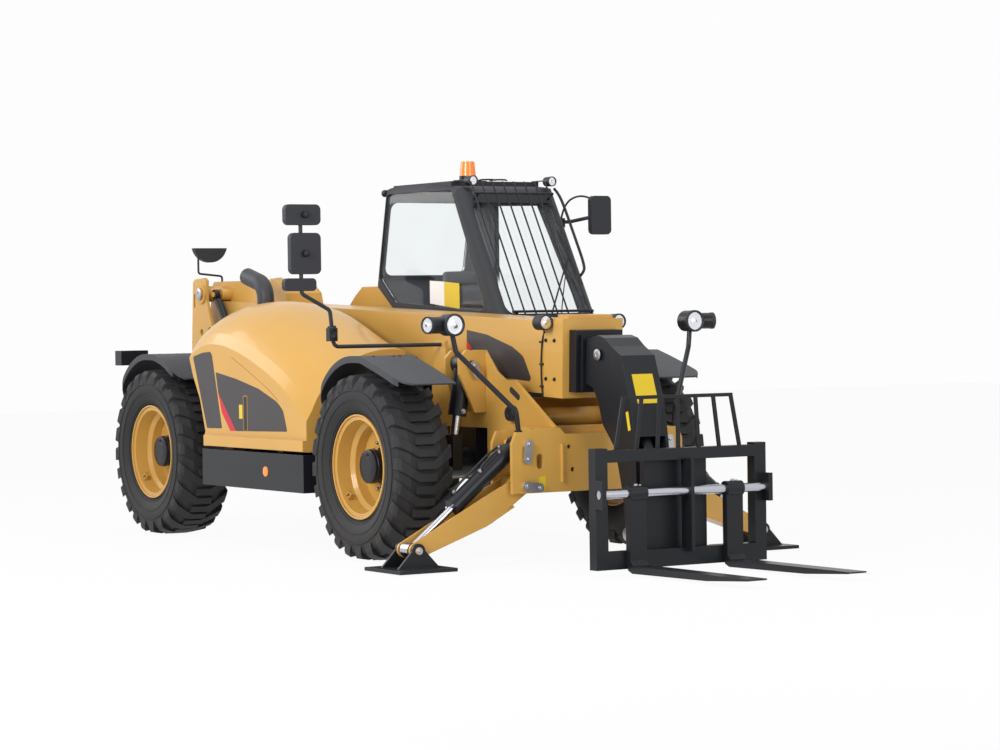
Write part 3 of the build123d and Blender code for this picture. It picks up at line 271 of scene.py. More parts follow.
add_finish("exhaust paint", (0.035, 0.036, 0.042), 0.5, relief=0.06)
add_finish("seat cloth", (0.045, 0.045, 0.05), 0.9, relief=0.4, grain_size=700.0)
add_finish("hose rubber", (0.016, 0.016, 0.017), 0.45, relief=0.1)
add_finish("decal charcoal", (0.040, 0.036, 0.038), 0.34, relief=0.01, edge=0)
add_finish("decal red", (0.52, 0.012, 0.03), 0.34, relief=0.01, edge=0)
add_finish("plate yellow", (0.66, 0.47, 0.02), 0.4, relief=0.01, edge=0)
add_finish("plate white", (0.80, 0.80, 0.80), 0.4, relief=0.01, edge=0)
add_finish("amber lens", (0.85, 0.20, 0.015), 0.15, coat=0.6, glow=(0.9, 0.22, 0.01))
add_finish("red lens", (0.45, 0.01, 0.01), 0.15, coat=0.6)
add_finish("lamp reflector", (0.86, 0.87, 0.90), 0.12, metallic=1.0, edge=0)
add_finish("mirror face", (0.80, 0.82, 0.85), 0.04, metallic=1.0, spread=0.0,
           relief=0.0, edge=0)
add_finish("crease shadow", (0.30, 0.16, 0.03), 0.5, edge=0)
add_glass("cab glazing", (0.95, 0.97, 0.975))
add_glass("lamp lens", (0.95, 0.96, 0.98))

# %% [markdown]
# Each solid keeps its shape and only receives a finish. A table of node name beginnings says
# which one, so that the four wheels or both stabilisers get theirs in one line.

# %% Put the finishes on the solids
node_finish = {
    "tyre": "tyre rubber", "rim": "machine yellow", "knuckle": "satin black",
    "fender": "fender plastic", "front_axle": "satin black", "rear_axle": "satin black",
    "chassis": "machine yellow", "frame_members": "machine yellow",
    "stabiliser_box": "machine yellow",
    "stabiliser_leg": "machine yellow", "stabiliser_barrel": "satin black",
    "stabiliser_rod": "polished chrome", "stabiliser_pad": "satin black",
    "engine_block": "engine casting", "engine_hood": "machine yellow",
    "rear_cover": "machine yellow", "side_boxes": "satin black", "exhaust": "exhaust paint",
    "outer_boom": "machine yellow",
    "middle_boom": "satin black", "inner_boom": "satin black", "boom_head": "satin black",
    "boom_lamps": "moulded plastic", "rear_mirror": "moulded plastic",
    "lift_barrel": "satin black", "lift_rod": "polished chrome", "level_barrel": "satin black",
    "level_rod": "polished chrome", "tilt_barrel": "satin black",
    "tilt_rod": "polished chrome", "fork_carriage": "satin black", "fork_frame": "satin black",
    "fork_shaft": "polished chrome", "forks": "satin black", "cab_frame": "moulded plastic",
    "cab_door": "moulded plastic", "cab_glass": "cab glazing", "door_glass": "cab glazing",
    "cab_seat": "seat cloth", "cab_console": "moulded plastic", "work_lamps": "satin black",
    "window_guard": "satin black", "side_mirrors": "moulded plastic",
}
for node, solid in frame["nodes"].items():
    match = max((start for start in node_finish if node.startswith(start)), key=len)
    solid.data.materials.clear()
    solid.data.materials.append(finishes[node_finish[match]])
print(len(frame["nodes"]), "solids finished")

# %% [markdown]
# Most small pieces are one of three kinds: a flat sheet cut to an outline, a turned piece with
# one axis, or a tube along a smooth line. Each kind gets a short helper that builds clean faces
# with bmesh, so later cells only say what the piece is.

# %% Helpers that make pieces
def add_piece(name, mesh_data, body, finish, angle=40):
    """Turns a bmesh into a named piece that rides on a body."""
    mesh = bpy.data.meshes.new(name)
    bmesh.ops.recalc_face_normals(mesh_data, faces=mesh_data.faces)
    mesh_data.to_mesh(mesh)
    mesh_data.free()
    mesh.shade_smooth()
    mesh.set_sharp_from_angle(angle=math.radians(angle))
    mesh.materials.append(finishes[finish])
    piece = bpy.data.objects.new(name, mesh)
    bpy.context.collection.objects.link(piece)
    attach(piece, body)
    return piece


def sheet_into(mesh_data, outline, lift):
    """Adds a flat sheet between an outline and the same outline moved by lift."""
    near = [mesh_data.verts.new(point) for point in outline]
    far = [mesh_data.verts.new(point + lift) for point in outline]
    mesh_data.faces.new(near)
    mesh_data.faces.new(list(reversed(far)))
    for k in range(len(near)):
        n = (k + 1) % len(near)
        mesh_data.faces.new((near[k], far[k], far[n], near[n]))


def turned_into(mesh_data, profile, start, axis, segments=32):
    """Adds a turned solid: profile holds (distance along the axis, radius) in metres."""
    axis = axis.normalized()
    across = axis.orthogonal().normalized()
    up = axis.cross(across)
    rings = []
    for distance, radius in profile:
        middle = start + axis * distance
        if radius < 1e-6:
            rings.append([mesh_data.verts.new(middle)])
            continue
        ring = []
        for k in range(segments):
            angle = math.tau * k / segments
            ring.append(mesh_data.verts.new(
                middle + across * radius * math.cos(angle) + up * radius * math.sin(angle)))
        rings.append(ring)
    for first, second in zip(rings, rings[1:]):
        for k in range(segments):
            n = (k + 1) % segments
            if len(first) == 1:
                mesh_data.faces.new((first[0], second[n], second[k]))
            elif len(second) == 1:
                mesh_data.faces.new((first[k], first[n], second[0]))
            else:
                mesh_data.faces.new((first[k], first[n], second[n], second[k]))


def bolt_into(mesh_data, place, axis, size):
    """Adds a washer and a chamfered hexagon head; size is the thread's diameter in metres."""
    turned_into(mesh_data, [(0, 0), (0, size), (0.15 * size, size), (0.15 * size, 0)], place,
                axis, 20)
    turned_into(mesh_data, [(0.15 * size, 0), (0.15 * size, 0.85 * size),
                            (0.7 * size, 0.85 * size), (0.8 * size, 0.7 * size),
                            (0.8 * size, 0)], place, axis, 6)


def add_tube(name, points, radius, body, finish):
    """A smooth tube or hose through a few points, turned into a mesh."""
    curve = bpy.data.curves.new(name, "CURVE")
    curve.dimensions = "3D"
    curve.bevel_depth = radius
    curve.bevel_resolution = 3
    curve.use_fill_caps = True
    line = curve.splines.new("NURBS")
    line.points.add(len(points) - 1)
    for place, point in zip(line.points, points):
        place.co = (*point, 1)
    line.order_u = 3
    line.use_endpoint_u = True
    holder = bpy.data.objects.new(name, curve)
    mesh = bpy.data.meshes.new_from_object(holder)
    bpy.data.objects.remove(holder)
    mesh.shade_smooth()
    mesh.materials.clear()
    mesh.materials.append(finishes[finish])
    piece = bpy.data.objects.new(name, mesh)
    bpy.context.collection.objects.link(piece)
    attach(piece, body)
    return piece


# %% [markdown]
# A wheel is held by ten nuts round the hub, and the hub itself is a dark casting with a drain
# plug. Turned pieces suit both, because every section round the axle is the same.

# %% Hubs and wheel nuts
track = abs(wheel_hub.y) / mm
dish_face = track - 28
hub_depth = 126 * mm
for end, ahead in (("front", 0), ("rear", -wheelbase / mm)):
    for side_name, sign in sides.items():
        body = f"wheel_{end}_{side_name}"
        axis = Vector((0, sign, 0))
        base = at(ahead, sign * dish_face, wheel_hub.z / mm)
        hub = bmesh.new()
        turned_into(hub, [(0, 0), (0, 0.124), (0.014, 0.124), (0.02, 0.107), (0.088, 0.107),
                          (0.09, 0.111), (0.104, 0.111), (0.107, 0.1075),
                          (hub_depth - 0.002, 0.1075),
                          (hub_depth, 0.1045), (hub_depth, 0.060), (hub_depth + 0.002, 0.058),
                          (hub_depth + 0.002, 0)], base, axis, 56)
        bolt_into(hub, base + axis * hub_depth + Vector((0, 0, 0.078)), axis, 0.010)
        add_piece(f"hub_cap_{end}_{side_name}", hub, body, "satin black")
        nuts = bmesh.new()
        for k in range(10):
            angle = math.tau * k / 10
            place = base + Vector((math.cos(angle), 0, math.sin(angle))) * 0.155
            bolt_into(nuts, place, axis, 0.022)
            turned_into(nuts, [(0.015, 0), (0.015, 0.011), (0.036, 0.011), (0.038, 0.009),
                               (0.038, 0)], place, axis, 16)
        add_piece(f"wheel_nuts_{end}_{side_name}", nuts, body, "zinc plate")
print("hubs reach", round(track - 28 + hub_depth / mm), "mm from the middle")

# %% [markdown]
# A tyre's side is not plain: moulded rings run round it near the rim and near the tread. And
# inside the rim a bent strap guards the valve. Both are small, and both turn with the wheel.

# %% Tyre rings and valve guards
def side_offset(radius):
    """How far the tyre's side stands out at a radius, from the tyre's middle, in metres."""
    (r0, t0), (r1, t1), (r2, t2) = (0.339, 0.1557), (0.455, 0.200), (0.545, 0.182)
    one = t0 * (radius - r1) * (radius - r2) / ((r0 - r1) * (r0 - r2))
    two = t1 * (radius - r0) * (radius - r2) / ((r1 - r0) * (r1 - r2))
    return one + two + t2 * (radius - r0) * (radius - r1) / ((r2 - r0) * (r2 - r1))


for end, ahead in (("front", 0), ("rear", -wheelbase / mm)):
    for side_name, sign in sides.items():
        middle = at(ahead, sign * track, wheel_hub.z / mm)
        rings = bmesh.new()
        for radius, height in ((0.352, 0.004), (0.366, 0.003), (0.428, 0.003), (0.489, 0.004)):
            foot = side_offset(radius) - 0.001
            turned_into(rings, [(foot, radius - 0.004), (foot + height + 0.002, radius - 0.002),
                                (foot + height + 0.002, radius + 0.002), (foot, radius + 0.004),
                                (foot, radius - 0.004)], middle, Vector((0, sign, 0)), 72)
        add_piece(f"tyre_rings_{end}_{side_name}", rings, f"wheel_{end}_{side_name}",
                  "tyre rubber")
        guard = bmesh.new()
        inward = Vector((0.72, 0, 0.69))
        along = Vector((-0.69, 0, 0.72))
        foot = middle + Vector((0, sign * 0.118, 0)) - inward * 0.295
        for shift in (-0.020, 0.014):
            sheet_into(guard, [foot + Vector((0, y * mm, 0)) + along * shift + inward * z * mm
                               for y, z in ((-18, -4), (18, -4), (16, 26), (8, 36), (-8, 36),
                                            (-16, 26))], along * 0.006)
        sheet_into(guard, [foot + Vector((0, y * mm, 0)) - along * 0.020 + inward * z * mm
                           for y, z in ((-8, 31), (8, 31), (8, 36), (-8, 36))], along * 0.040)
        add_piece(f"valve_guard_{end}_{side_name}", guard, f"wheel_{end}_{side_name}",
                  "machine yellow")
print("tyre side stands out", round(side_offset(0.45), 4), "m at a radius of 0.45 m")

# %% [markdown]
# The hood carries dark painted shapes: an air intake panel behind and a long swoosh with a red
# edge ahead of it. They are thin sheets laid on the flat side of the hood, a millimetre thick,
# so that their edges catch light as a film or an inset panel does.

# %% Dark shapes on the hood
hood_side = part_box("engine_hood")[0].y / mm + 30  # the sill stands 30 mm proud


def side_sheet(name, outline, left, thickness, body, finish):
    """A sheet in a side view, given ahead and up in millimetres, at a distance left."""
    mesh_data = bmesh.new()
    sign = 1 if left > 0 else -1
    sheet_into(mesh_data, [at(x, left, z) for x, z in outline],
               Vector((0, sign * thickness * mm, 0)))
    return add_piece(name, mesh_data, body, finish)


def curve_points(corners, steps=6):
    """Points of a smooth closed outline: each corner is (x, z, cut) with the cut's length."""
    points = []
    count = len(corners)
    for k, (x, z, cut) in enumerate(corners):
        if not cut:
            points.append((x, z))
            continue
        here = Vector((x, z))
        before = Vector(corners[k - 1][:2])
        after = Vector(corners[(k + 1) % count][:2])
        start = here + (before - here).normalized() * cut
        finish = here + (after - here).normalized() * cut
        for step in range(steps + 1):
            t = step / steps
            point = start * (1 - t) ** 2 + here * 2 * t * (1 - t) + finish * t ** 2
            points.append((point.x, point.y))
    return points


intake = curve_points([(-2396, 1290, 25), (-2250, 1318, 0), (-2105, 1328, 40), (-1958, 796, 12),
                       (-2190, 793, 12)])
side_sheet("hood_intake", intake, hood_side, 1.2, "hood", "decal charcoal")
swoosh = curve_points([(-2041, 1184, 4), (-1730, 1141, 0), (-1397, 1078, 0), (-1114, 988, 60),
                       (-1045, 934, 0), (-990, 798, 14), (-1743, 783, 4), (-2009, 1045, 4)])
side_sheet("hood_swoosh", swoosh, hood_side, 1.2, "hood", "decal charcoal")
side_sheet("hood_stripe", [(-2009, 1045), (-1743, 784), (-1829, 782), (-1954, 905)], hood_side,
           1.6, "hood", "decal red")
# A dark yellow sheet just larger than the handle paints the shade round its recess.
side_sheet("hood_handle_painted_shade", curve_points([(-1628, 1030, 14), (-1562, 1030, 14),
                                            (-1562, 790, 8), (-1628, 790, 8)]),
           hood_side, 2.4, "hood", "crease shadow")
side_sheet("hood_handle", curve_points([(-1618, 1022, 12), (-1572, 1022, 12), (-1572, 792, 6),
                                        (-1618, 792, 6)]),
           hood_side, 3.2, "hood", "moulded plastic")
side_sheet("hood_tag", [(-1690, 965), (-1640, 965), (-1640, 870), (-1690, 870)], hood_side, 1.8,
           "hood", "plate yellow")
# A thin dark yellow tube along the arched edge paints the shade of the hood's crease.
add_tube("hood_crease_painted_shade", [at(x, hood_side, z) for x, z in (
    (-1800, 1290), (-1560, 1200), (-1376, 1125), (-1220, 1062), (-1112, 1000))], 0.0022, "hood",
    "crease shadow")

# %% [markdown]
# The same pair of shapes is painted on the front of the outer boom. The sheet sits on the
# boom's side plate and moves with the boom.

# %% Dark shape on the boom
boom_side = -205
swoosh = curve_points([(-179, 1459, 4), (72, 1428, 0), (379, 1350, 0), (510, 1290, 30),
                       (600, 1150, 10), (585, 1130, 10), (262, 1150, 40), (115, 1285, 30),
                       (-182, 1334, 4)])
side_sheet("boom_swoosh", swoosh, boom_side, 1.2, "boom", "decal charcoal")
side_sheet("boom_stripe", [(-182, 1392), (-182, 1334), (-117, 1334)], boom_side, 1.8, "boom",
           "decal red")

# %% [markdown]
# Bolt heads, pin caps and their keepers are what tells bare steel from a model of it. A keeper
# is a flat zinc link with round ends: one end covers the pin, the other is bolted down.

# %% Bolts, pin caps and keepers
def link_into(mesh_data, first, second, radius, lift):
    """Adds a flat link with round ends between two points, thickened by lift."""
    run = (second - first).normalized()
    side_way = lift.normalized().cross(run)
    outline = []
    for centre, start in ((first, math.pi / 2), (second, -math.pi / 2)):
        for k in range(13):
            angle = start + math.pi * k / 12
            outline.append(centre + run * radius * math.cos(angle)
                           + side_way * radius * math.sin(angle))
    sheet_into(mesh_data, outline, lift)


ahead_way = Vector((1, 0, 0))
collar_side = 225
collar_bolts = ((814, 1391), (911, 1389), (808, 1149), (906, 1146))
for side_name, sign in sides.items():
    out = Vector((0, sign, 0))
    bolts = bmesh.new()
    for x, z in collar_bolts:
        bolt_into(bolts, at(x, sign * collar_side, z), out, 0.013)
    add_piece(f"collar_bolts_{side_name}", bolts, "boom", "satin black")
    caps = bmesh.new()
    turned_into(caps, [(0, 0), (0, 0.036), (0.006, 0.036), (0.009, 0.031), (0.009, 0.012),
                       (0.006, 0.010), (0.006, 0)], at(1260, sign * 137, 1300), out, 36)
    turned_into(caps, [(0, 0), (0, 0.040), (0.005, 0.040), (0.008, 0.034), (0.008, 0)],
                at(1600, sign * 155, 210) + out * 0.010, out, 36)
    add_piece(f"head_pin_caps_{side_name}", caps, "boom_inner", "zinc plate")
print("collar bolts and head pin caps on both sides")

# %% Keepers of the ram pin, the leg pin and the bracket of the axle cylinder
ram_pin, leg_pin, bracket_pin = (530, 754), (548, 496), (436, 1232)
ram_keeper_end, leg_keeper_end, bracket_keeper_end = (537, 662), (452, 483), (412, 1172)
box_face, bracket_face = 1071, 285
link_depth = 0.007
for side_name, sign in sides.items():
    keepers = bmesh.new()
    for face, first, second, radius, size, spacer in (
            (box_face, ram_pin, ram_keeper_end, 0.029, 0.014, 0.018),
            (box_face, leg_pin, leg_keeper_end, 0.029, 0.014, 0.018),
            (bracket_face, bracket_pin, bracket_keeper_end, 0.030, 0.012, 0.026)):
        near = at(face, sign * first[0], first[1])
        far = at(face, sign * second[0], second[1])
        link_into(keepers, near, far, radius, ahead_way * link_depth)
        turned_into(keepers, [(-spacer, 0), (-spacer, 0.016), (0, 0.016), (0, 0)], far,
                    ahead_way, 20)
        bolt_into(keepers, near + ahead_way * link_depth, ahead_way, size)
        bolt_into(keepers, far + ahead_way * link_depth, ahead_way, 0.012)
    add_piece(f"keepers_{side_name}", keepers, "chassis", "zinc plate")
print("three keepers on each side, links", round(link_depth / mm), "mm thick")

# %% Caps, stops, slots painted as dark shade on the sides of the frame, bolts on the forks
frame_side = 335
for side_name, sign in sides.items():
    out = Vector((0, sign, 0))
    tower = bmesh.new()
    pin = Vector(joints["boom_lift"]["pos_m"]) + out * 0.359
    turned_into(tower, [(0, 0), (0, 0.046), (0.006, 0.046), (0.010, 0.040), (0.010, 0.016),
                        (0.006, 0.014), (0.006, 0)], pin, out, 40)
    add_piece(f"boom_pin_cap_{side_name}", tower, "chassis", "zinc plate")
    stop = bmesh.new()
    turned_into(stop, [(0, 0), (0, 0.048), (0.036, 0.050), (0.046, 0.044), (0.048, 0.018),
                       (0.040, 0.014), (0.040, 0)], at(600, sign * frame_side, 930), out, 40)
    add_piece(f"rubber_stop_{side_name}", stop, "chassis", "hose rubber")
    # Each slot is a thin dark sheet that paints the shade of an opening in the frame side.
    painted_slot_shade = bmesh.new()
    link_into(painted_slot_shade, at(570, sign * frame_side, 1078), at(650, sign * frame_side, 1034), 0.020,
              out * 0.0012)
    add_piece(f"side_slot_painted_shade_{side_name}", painted_slot_shade, "chassis", "decal charcoal")
    fork_bolt = bmesh.new()
    fork_left = sign * 355
    bolt_into(fork_bolt, at(1977.8, fork_left, 531), Vector((0, 0, 1)), 0.014)
    bolt_into(fork_bolt, at(1977.8, fork_left + 30, 530.2), Vector((0, 0, 1)), 0.009)
    add_piece(f"fork_bolts_{side_name}", fork_bolt, "carriage", "zinc plate")
print("caps, stops, slots and fork bolts on both sides")

# %% [markdown]
# Warning plates are thin painted sheets. They stay blank, and each lies on the face that
# carries it, so it needs no thickness to speak of.

# %% Blank plates on the head, the box and the boom
cover = [at(x, -126, z) for x, z in ((1546, 950), (1573, 957), (1598, 842), (1571, 836))]
plates = bmesh.new()
sheet_into(plates, cover, Vector((0, -0.0012, 0)))
front_plate = [at(1541, -76, 1180), at(1541, 76, 1180), at(1604, 76, 1002), at(1604, -76, 1002)]
sheet_into(plates, front_plate, Vector((0.0025, 0, 0.001)))
add_piece("head_plates", plates, "boom_inner", "plate yellow")
plates = bmesh.new()
sheet_into(plates, [at(1055, y, z) for y, z in ((-446, 550), (-399, 553), (-399, 457),
                                               (-444, 453))], ahead_way * 0.0015)
add_piece("box_plate_yellow", plates, "chassis", "plate yellow")
side_sheet("boom_plate_yellow", [(-395, 1262), (-358, 1264), (-355, 1200), (-392, 1198)],
           boom_side, 1.4, "boom", "plate yellow")
print("four blank plates")

# %% [markdown]
# The boom lamp's cable runs down behind the collar under small clips. It is fixed along its
# whole length, so it is a plain smooth tube and no free cord.

# %% Cable and clips on the boom, chrome of the axle cylinders
add_tube("boom_cable", [at(x, y, z) for x, y, z in (
    (838, -262, 1458), (815, -236, 1446), (772, -216, 1430), (744, -211, 1380),
    (733, -211, 1300), (729, -211, 1200), (733, -211, 1100), (744, -211, 1040))], 0.0055, "boom",
    "hose rubber")
clips = bmesh.new()
for z in (1380, 1240, 1100):
    sheet_into(clips, [at(x, -204, z + h) for x, h in ((718, -7), (752, -7), (752, 7), (718, 7))],
               Vector((0, -0.014, 0)))
add_piece("boom_cable_clips", clips, "boom", "moulded plastic")
for side_name, sign in sides.items():
    foot = at(160, sign * 517, 770)
    head = at(160, sign * 440, 1240)
    axis = (head - foot).normalized()
    sleeve = bmesh.new()
    turned_into(sleeve, [(0.022, 0.0302), (0.022, 0.0312), (0.142, 0.0312), (0.142, 0.0302),
                         (0.022, 0.0302)], foot, axis, 32)
    add_piece(f"axle_rod_chrome_{side_name}", sleeve, "chassis", "polished chrome")
    fittings = bmesh.new()
    for share, reach in ((0.36, 0.075), (0.80, 0.078)):
        place = foot + (head - foot) * share
        turned_into(fittings, [(0, 0), (0, 0.017), (reach, 0.017), (reach, 0.012),
                               (reach + 0.012, 0.012), (reach + 0.012, 0)], place,
                    Vector((1, 0, 0)), 20)
    add_piece(f"axle_fittings_{side_name}", fittings, "chassis", "zinc plate")
print("cable, clips and rod sleeves made")

# %% [markdown]
# A work lamp is a bowl with a bright reflector behind a slightly domed glass, held by a black
# ring. The solids hold the bowl, and each lamp here gets its ring, reflector and glass.

# %% Lamp faces
def add_lamp(name, centre, axis, radius, body, lens="lamp lens"):
    """Ring, reflector and domed glass on the front of a round lamp."""
    ring = bmesh.new()
    turned_into(ring, [(-0.004, radius * 0.84), (0.010, radius * 0.84), (0.014, radius * 0.9),
                       (0.010, radius * 1.03), (-0.010, radius * 1.04), (-0.012, radius)],
                centre, axis, 40)
    add_piece(f"{name}_ring", ring, body, "moulded plastic")
    bowl = bmesh.new()
    turned_into(bowl, [(0.001, radius * 0.86), (0.0015, radius * 0.5), (0.003, radius * 0.2),
                       (0.006, radius * 0.14), (0.007, 0)], centre, axis, 40)
    add_piece(f"{name}_reflector", bowl, body, "lamp reflector")
    glass = bmesh.new()
    turned_into(glass, [(0.009, radius * 0.85), (0.014, radius * 0.6), (0.017, radius * 0.3),
                        (0.018, 0)], centre, axis, 40)
    add_piece(f"{name}_glass", glass, body, lens)


for side_name, sign in sides.items():
    add_lamp(f"post_lamp_{side_name}", at(834, sign * 907, 1497), ahead_way, 0.068, "chassis")
    turned = Vector((30, sign * 115, 0)).normalized()
    add_lamp(f"turned_lamp_{side_name}", at(794, sign * 1072, 1497), turned, 0.052, "chassis")
    add_lamp(f"boom_lamp_{side_name}", at(890, sign * 277, 1503), ahead_way, 0.048, "boom")
for y in (350, 995):
    add_lamp(f"roof_lamp_{y}", at(-985, y, 2483), ahead_way, 0.034, "chassis")
beacon = bmesh.new()
turned_into(beacon, [(-0.004, 0.058), (0, 0.0575), (0.04, 0.0545), (0.08, 0.0505),
                     (0.096, 0.0487), (0.0990, 0.0484), (0.0990, 0)],
            at(-1300, 500, 2530.9), Vector((0, 0, 1)), 48)
add_piece("beacon_dome", beacon, "chassis", "amber lens")
marker = bmesh.new()
turned_into(marker, [(0, 0), (0, 0.035), (0.004, 0.033), (0.007, 0.02), (0.008, 0)],
            at(-1255, -1150, 525), Vector((0, -1, 0)), 32)
add_piece("side_marker", marker, "chassis", "amber lens")

# %% [markdown]
# Blank plates stand where a real machine has its notices: one on the boom head, one inside
# the right window. They stay plain on purpose.

# %% Plates
plates = bmesh.new()
window_plate_white = [at(x, 256, z) for x, z in ((-1430, 1800), (-1235, 1790), (-1235, 1620),
                                                (-1430, 1640))]
sheet_into(plates, window_plate_white, Vector((0, -0.002, 0)))
add_piece("window_plate_white", plates, "chassis", "plate white")
plates = bmesh.new()
window_plate_yellow = [at(x, 256, z) for x, z in ((-1233, 1790), (-1030, 1775), (-1030, 1600),
                                                 (-1233, 1620))]
sheet_into(plates, window_plate_yellow, Vector((0, -0.002, 0)))
add_piece("window_plate_yellow", plates, "chassis", "plate yellow")

# %% [markdown]
# The driver's seat is soft. Each cushion starts as a slightly small block of padding. It is
# remeshed into even squares and blown up as cloth, with a limit on how far it may swell, and
# then sewn channels are pressed in where a real cover is stitched down.

# %% Seat cushions
def stuffed(name, size, middle, lean, channels, limit):
    """A cushion: size in metres, lean in radians about the cross axis, channels across it."""
    start = bmesh.new()
    bmesh.ops.create_cube(start, size=1)
    for corner in start.verts:
        corner.co = Vector(corner.co[k] * size[k] for k in range(3))
    bmesh.ops.bevel(start, geom=list(start.edges), offset=min(size) * 0.38, segments=5,
                    affect="EDGES", profile=0.5)
    mesh = bpy.data.meshes.new(name)
    start.to_mesh(mesh)
    start.free()
    piece = bpy.data.objects.new(name, mesh)
    bpy.context.collection.objects.link(piece)

    def applied():
        graph = bpy.context.evaluated_depsgraph_get()
        piece.data = bpy.data.meshes.new_from_object(piece.evaluated_get(graph))
        piece.modifiers.clear()

    even = piece.modifiers.new("even squares", "REMESH")
    even.mode = "VOXEL"
    even.voxel_size = 0.007
    applied()
    before = [corner.co.copy() for corner in piece.data.vertices]
    stuffing = piece.modifiers.new("stuffing", "CLOTH")
    stuffing.settings.use_pressure = True
    stuffing.settings.uniform_pressure_force = 4
    stuffing.settings.effector_weights.gravity = 0
    stuffing.point_cache.frame_end = 20
    for moment in range(1, 21):
        bpy.context.scene.frame_set(moment)
    applied()
    bpy.context.scene.frame_set(1)
    normals = [corner.normal.copy() for corner in piece.data.vertices]
    for corner, rest, normal in zip(piece.data.vertices, before, normals):
        move = corner.co - rest
        if move.length > limit:
            corner.co = rest + move.normalized() * limit
        rounder = max(0.0, 1 - (2 * rest.x / size[0]) ** 2)
        rounder *= max(0.0, 1 - (2 * rest.y / size[1]) ** 2)
        corner.co.z += 0.012 * rounder * (1 if normal.z > 0.2 else 0)
        for channel in channels:
            depth = 0.009 * math.exp(-((rest.x - channel) / 0.008) ** 2)
            corner.co -= normal * depth * (1 if normal.z > -0.3 else 0)
    turn = Matrix.Rotation(lean, 4, "Y")
    piece.data.transform(Matrix.Translation(middle) @ turn)
    piece.modifiers.new("rounder", "SUBSURF").levels = 1
    applied()
    piece.data.shade_smooth()
    piece.data.materials.clear()
    piece.data.materials.append(finishes["seat cloth"])
    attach(piece, "chassis")
    print(name, len(piece.data.polygons), "faces")
    return piece


base = bmesh.new()
for low, high, inset in ((740, 800, 0), (800, 812, 22), (812, 824, 4), (824, 836, 22),
                         (836, 848, 4), (848, 860, 22), (860, 872, 4), (872, 884, 22),
                         (884, 896, 4), (896, 908, 22), (908, 1012, 0)):
    sheet_into(base, [at(x, y, low) for x, y in (
        (-1700 + inset, 470 + inset), (-1330 - inset, 470 + inset), (-1330 - inset, 850 - inset),
        (-1700 + inset, 850 - inset))], Vector((0, 0, (high - low) * mm)))
seat_base = add_piece("seat_base", base, "chassis", "moulded plastic")
seat_cushion = stuffed("seat_cushion", (0.40, 0.43, 0.095), at(-1445, 660, 1076), 0.06,
                       (-0.10, 0.02), 0.012)
seat_back = stuffed("seat_back", (0.60, 0.42, 0.085), at(-1692, 660, 1480), -1.50,
                    (-0.16, -0.04, 0.08), 0.012)
seat_shell = bmesh.new()
sheet_into(seat_shell, [at(-1744, y, z) for y, z in (
    (480, 1120), (840, 1120), (862, 1200), (862, 1740), (820, 1800), (500, 1800), (458, 1740),
    (458, 1200))], Vector((-0.012, 0, 0)))
add_piece("seat_shell", seat_shell, "chassis", "moulded plastic")
head_rest = stuffed("head_rest", (0.09, 0.26, 0.07), at(-1700, 660, 1822), -1.50, (), 0.008)
for cushion in (seat_cushion, seat_back, head_rest, seat_base):
    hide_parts("cab_seat")
print("the seat's pieces replace the plain seat")

# %% [markdown]
# Thin rods and small clamps finish the cab: a rail by the left pillar, the wiper on the
# windscreen, the mirrors' clamps and faces, and the door's handle.

# %% Cab rail, wiper, mirror fittings and door handle
add_tube("pillar_rail", [at(x, y, z) for x, y, z in (
    (-1006, 1030, 2432), (-960, 1034, 2400), (-889, 1036, 2302), (-764, 1036, 2092),
    (-639, 1036, 1883), (-636, 1020, 1835), (-655, 990, 1800))], 0.010, "chassis", "satin black")
add_tube("wiper_arm", [at(-455, 632, 1533), at(-560, 760, 1710), at(-690, 925, 1928)], 0.006,
         "chassis", "satin black")
add_tube("wiper_link", [at(-455, 716, 1533), at(-560, 800, 1710), at(-702, 940, 1950)], 0.004,
         "chassis", "satin black")
blade = bmesh.new()
low_end, high_end = at(-585, 968, 1752), at(-808, 912, 2128)
sheet_into(blade, [low_end + Vector((0, -0.008, 0)), low_end + Vector((0, 0.008, 0)),
                   high_end + Vector((0, 0.008, 0)), high_end + Vector((0, -0.008, 0))],
           Vector((0.86, 0, 0.51)) * 0.014)
for y in (632, 716):
    turned_into(blade, [(-0.03, 0.016), (0.006, 0.016), (0.010, 0.010), (0.010, 0)],
                at(-462, y, 1530), Vector((0.86, 0, 0.51)), 20)
add_piece("wiper_blade", blade, "chassis", "hose rubber")
add_tube("left_mirror_loop", [at(x, y, z) for x, y, z in (
    (-985, 1072, 2225), (-965, 1085, 2330), (-880, 1155, 2388), (-810, 1240, 2350),
    (-790, 1262, 2290))], 0.007, "chassis", "satin black")
clamps = bmesh.new()
pole = at(-300, -1160, 1600) - at(-300, -1135, 1365)
for share in (0.18, 0.42):
    turned_into(clamps, [(0, 0), (0, 0.026), (0.006, 0.029), (0.030, 0.029), (0.036, 0.026),
                         (0.036, 0)], at(-300, -1135, 1365) + pole * share, pole, 24)
sheet_into(clamps, [at(-325, y, z) for y, z in ((-1177, 1400), (-1119, 1400), (-1119, 1486),
                                               (-1177, 1486))], Vector((0.050, 0, 0)))
for z in (1422, 1464):
    bolt_into(clamps, at(-275, -1164, z), ahead_way, 0.009)
for z, reach in ((2213, 60), (1965, 60)):
    turned_into(clamps, [(0, 0), (0, 0.022), (0.030, 0.022), (0.034, 0.016), (0.034, 0)],
                at(-287, -1342, z), ahead_way, 24)
sheet_into(clamps, [at(-1010, y, z) for y, z in ((1052, 2160), (1090, 2160), (1090, 2226),
                                                (1052, 2226))], Vector((0.046, 0, 0)))
add_piece("mirror_clamps", clamps, "chassis", "satin black")
faces = bmesh.new()
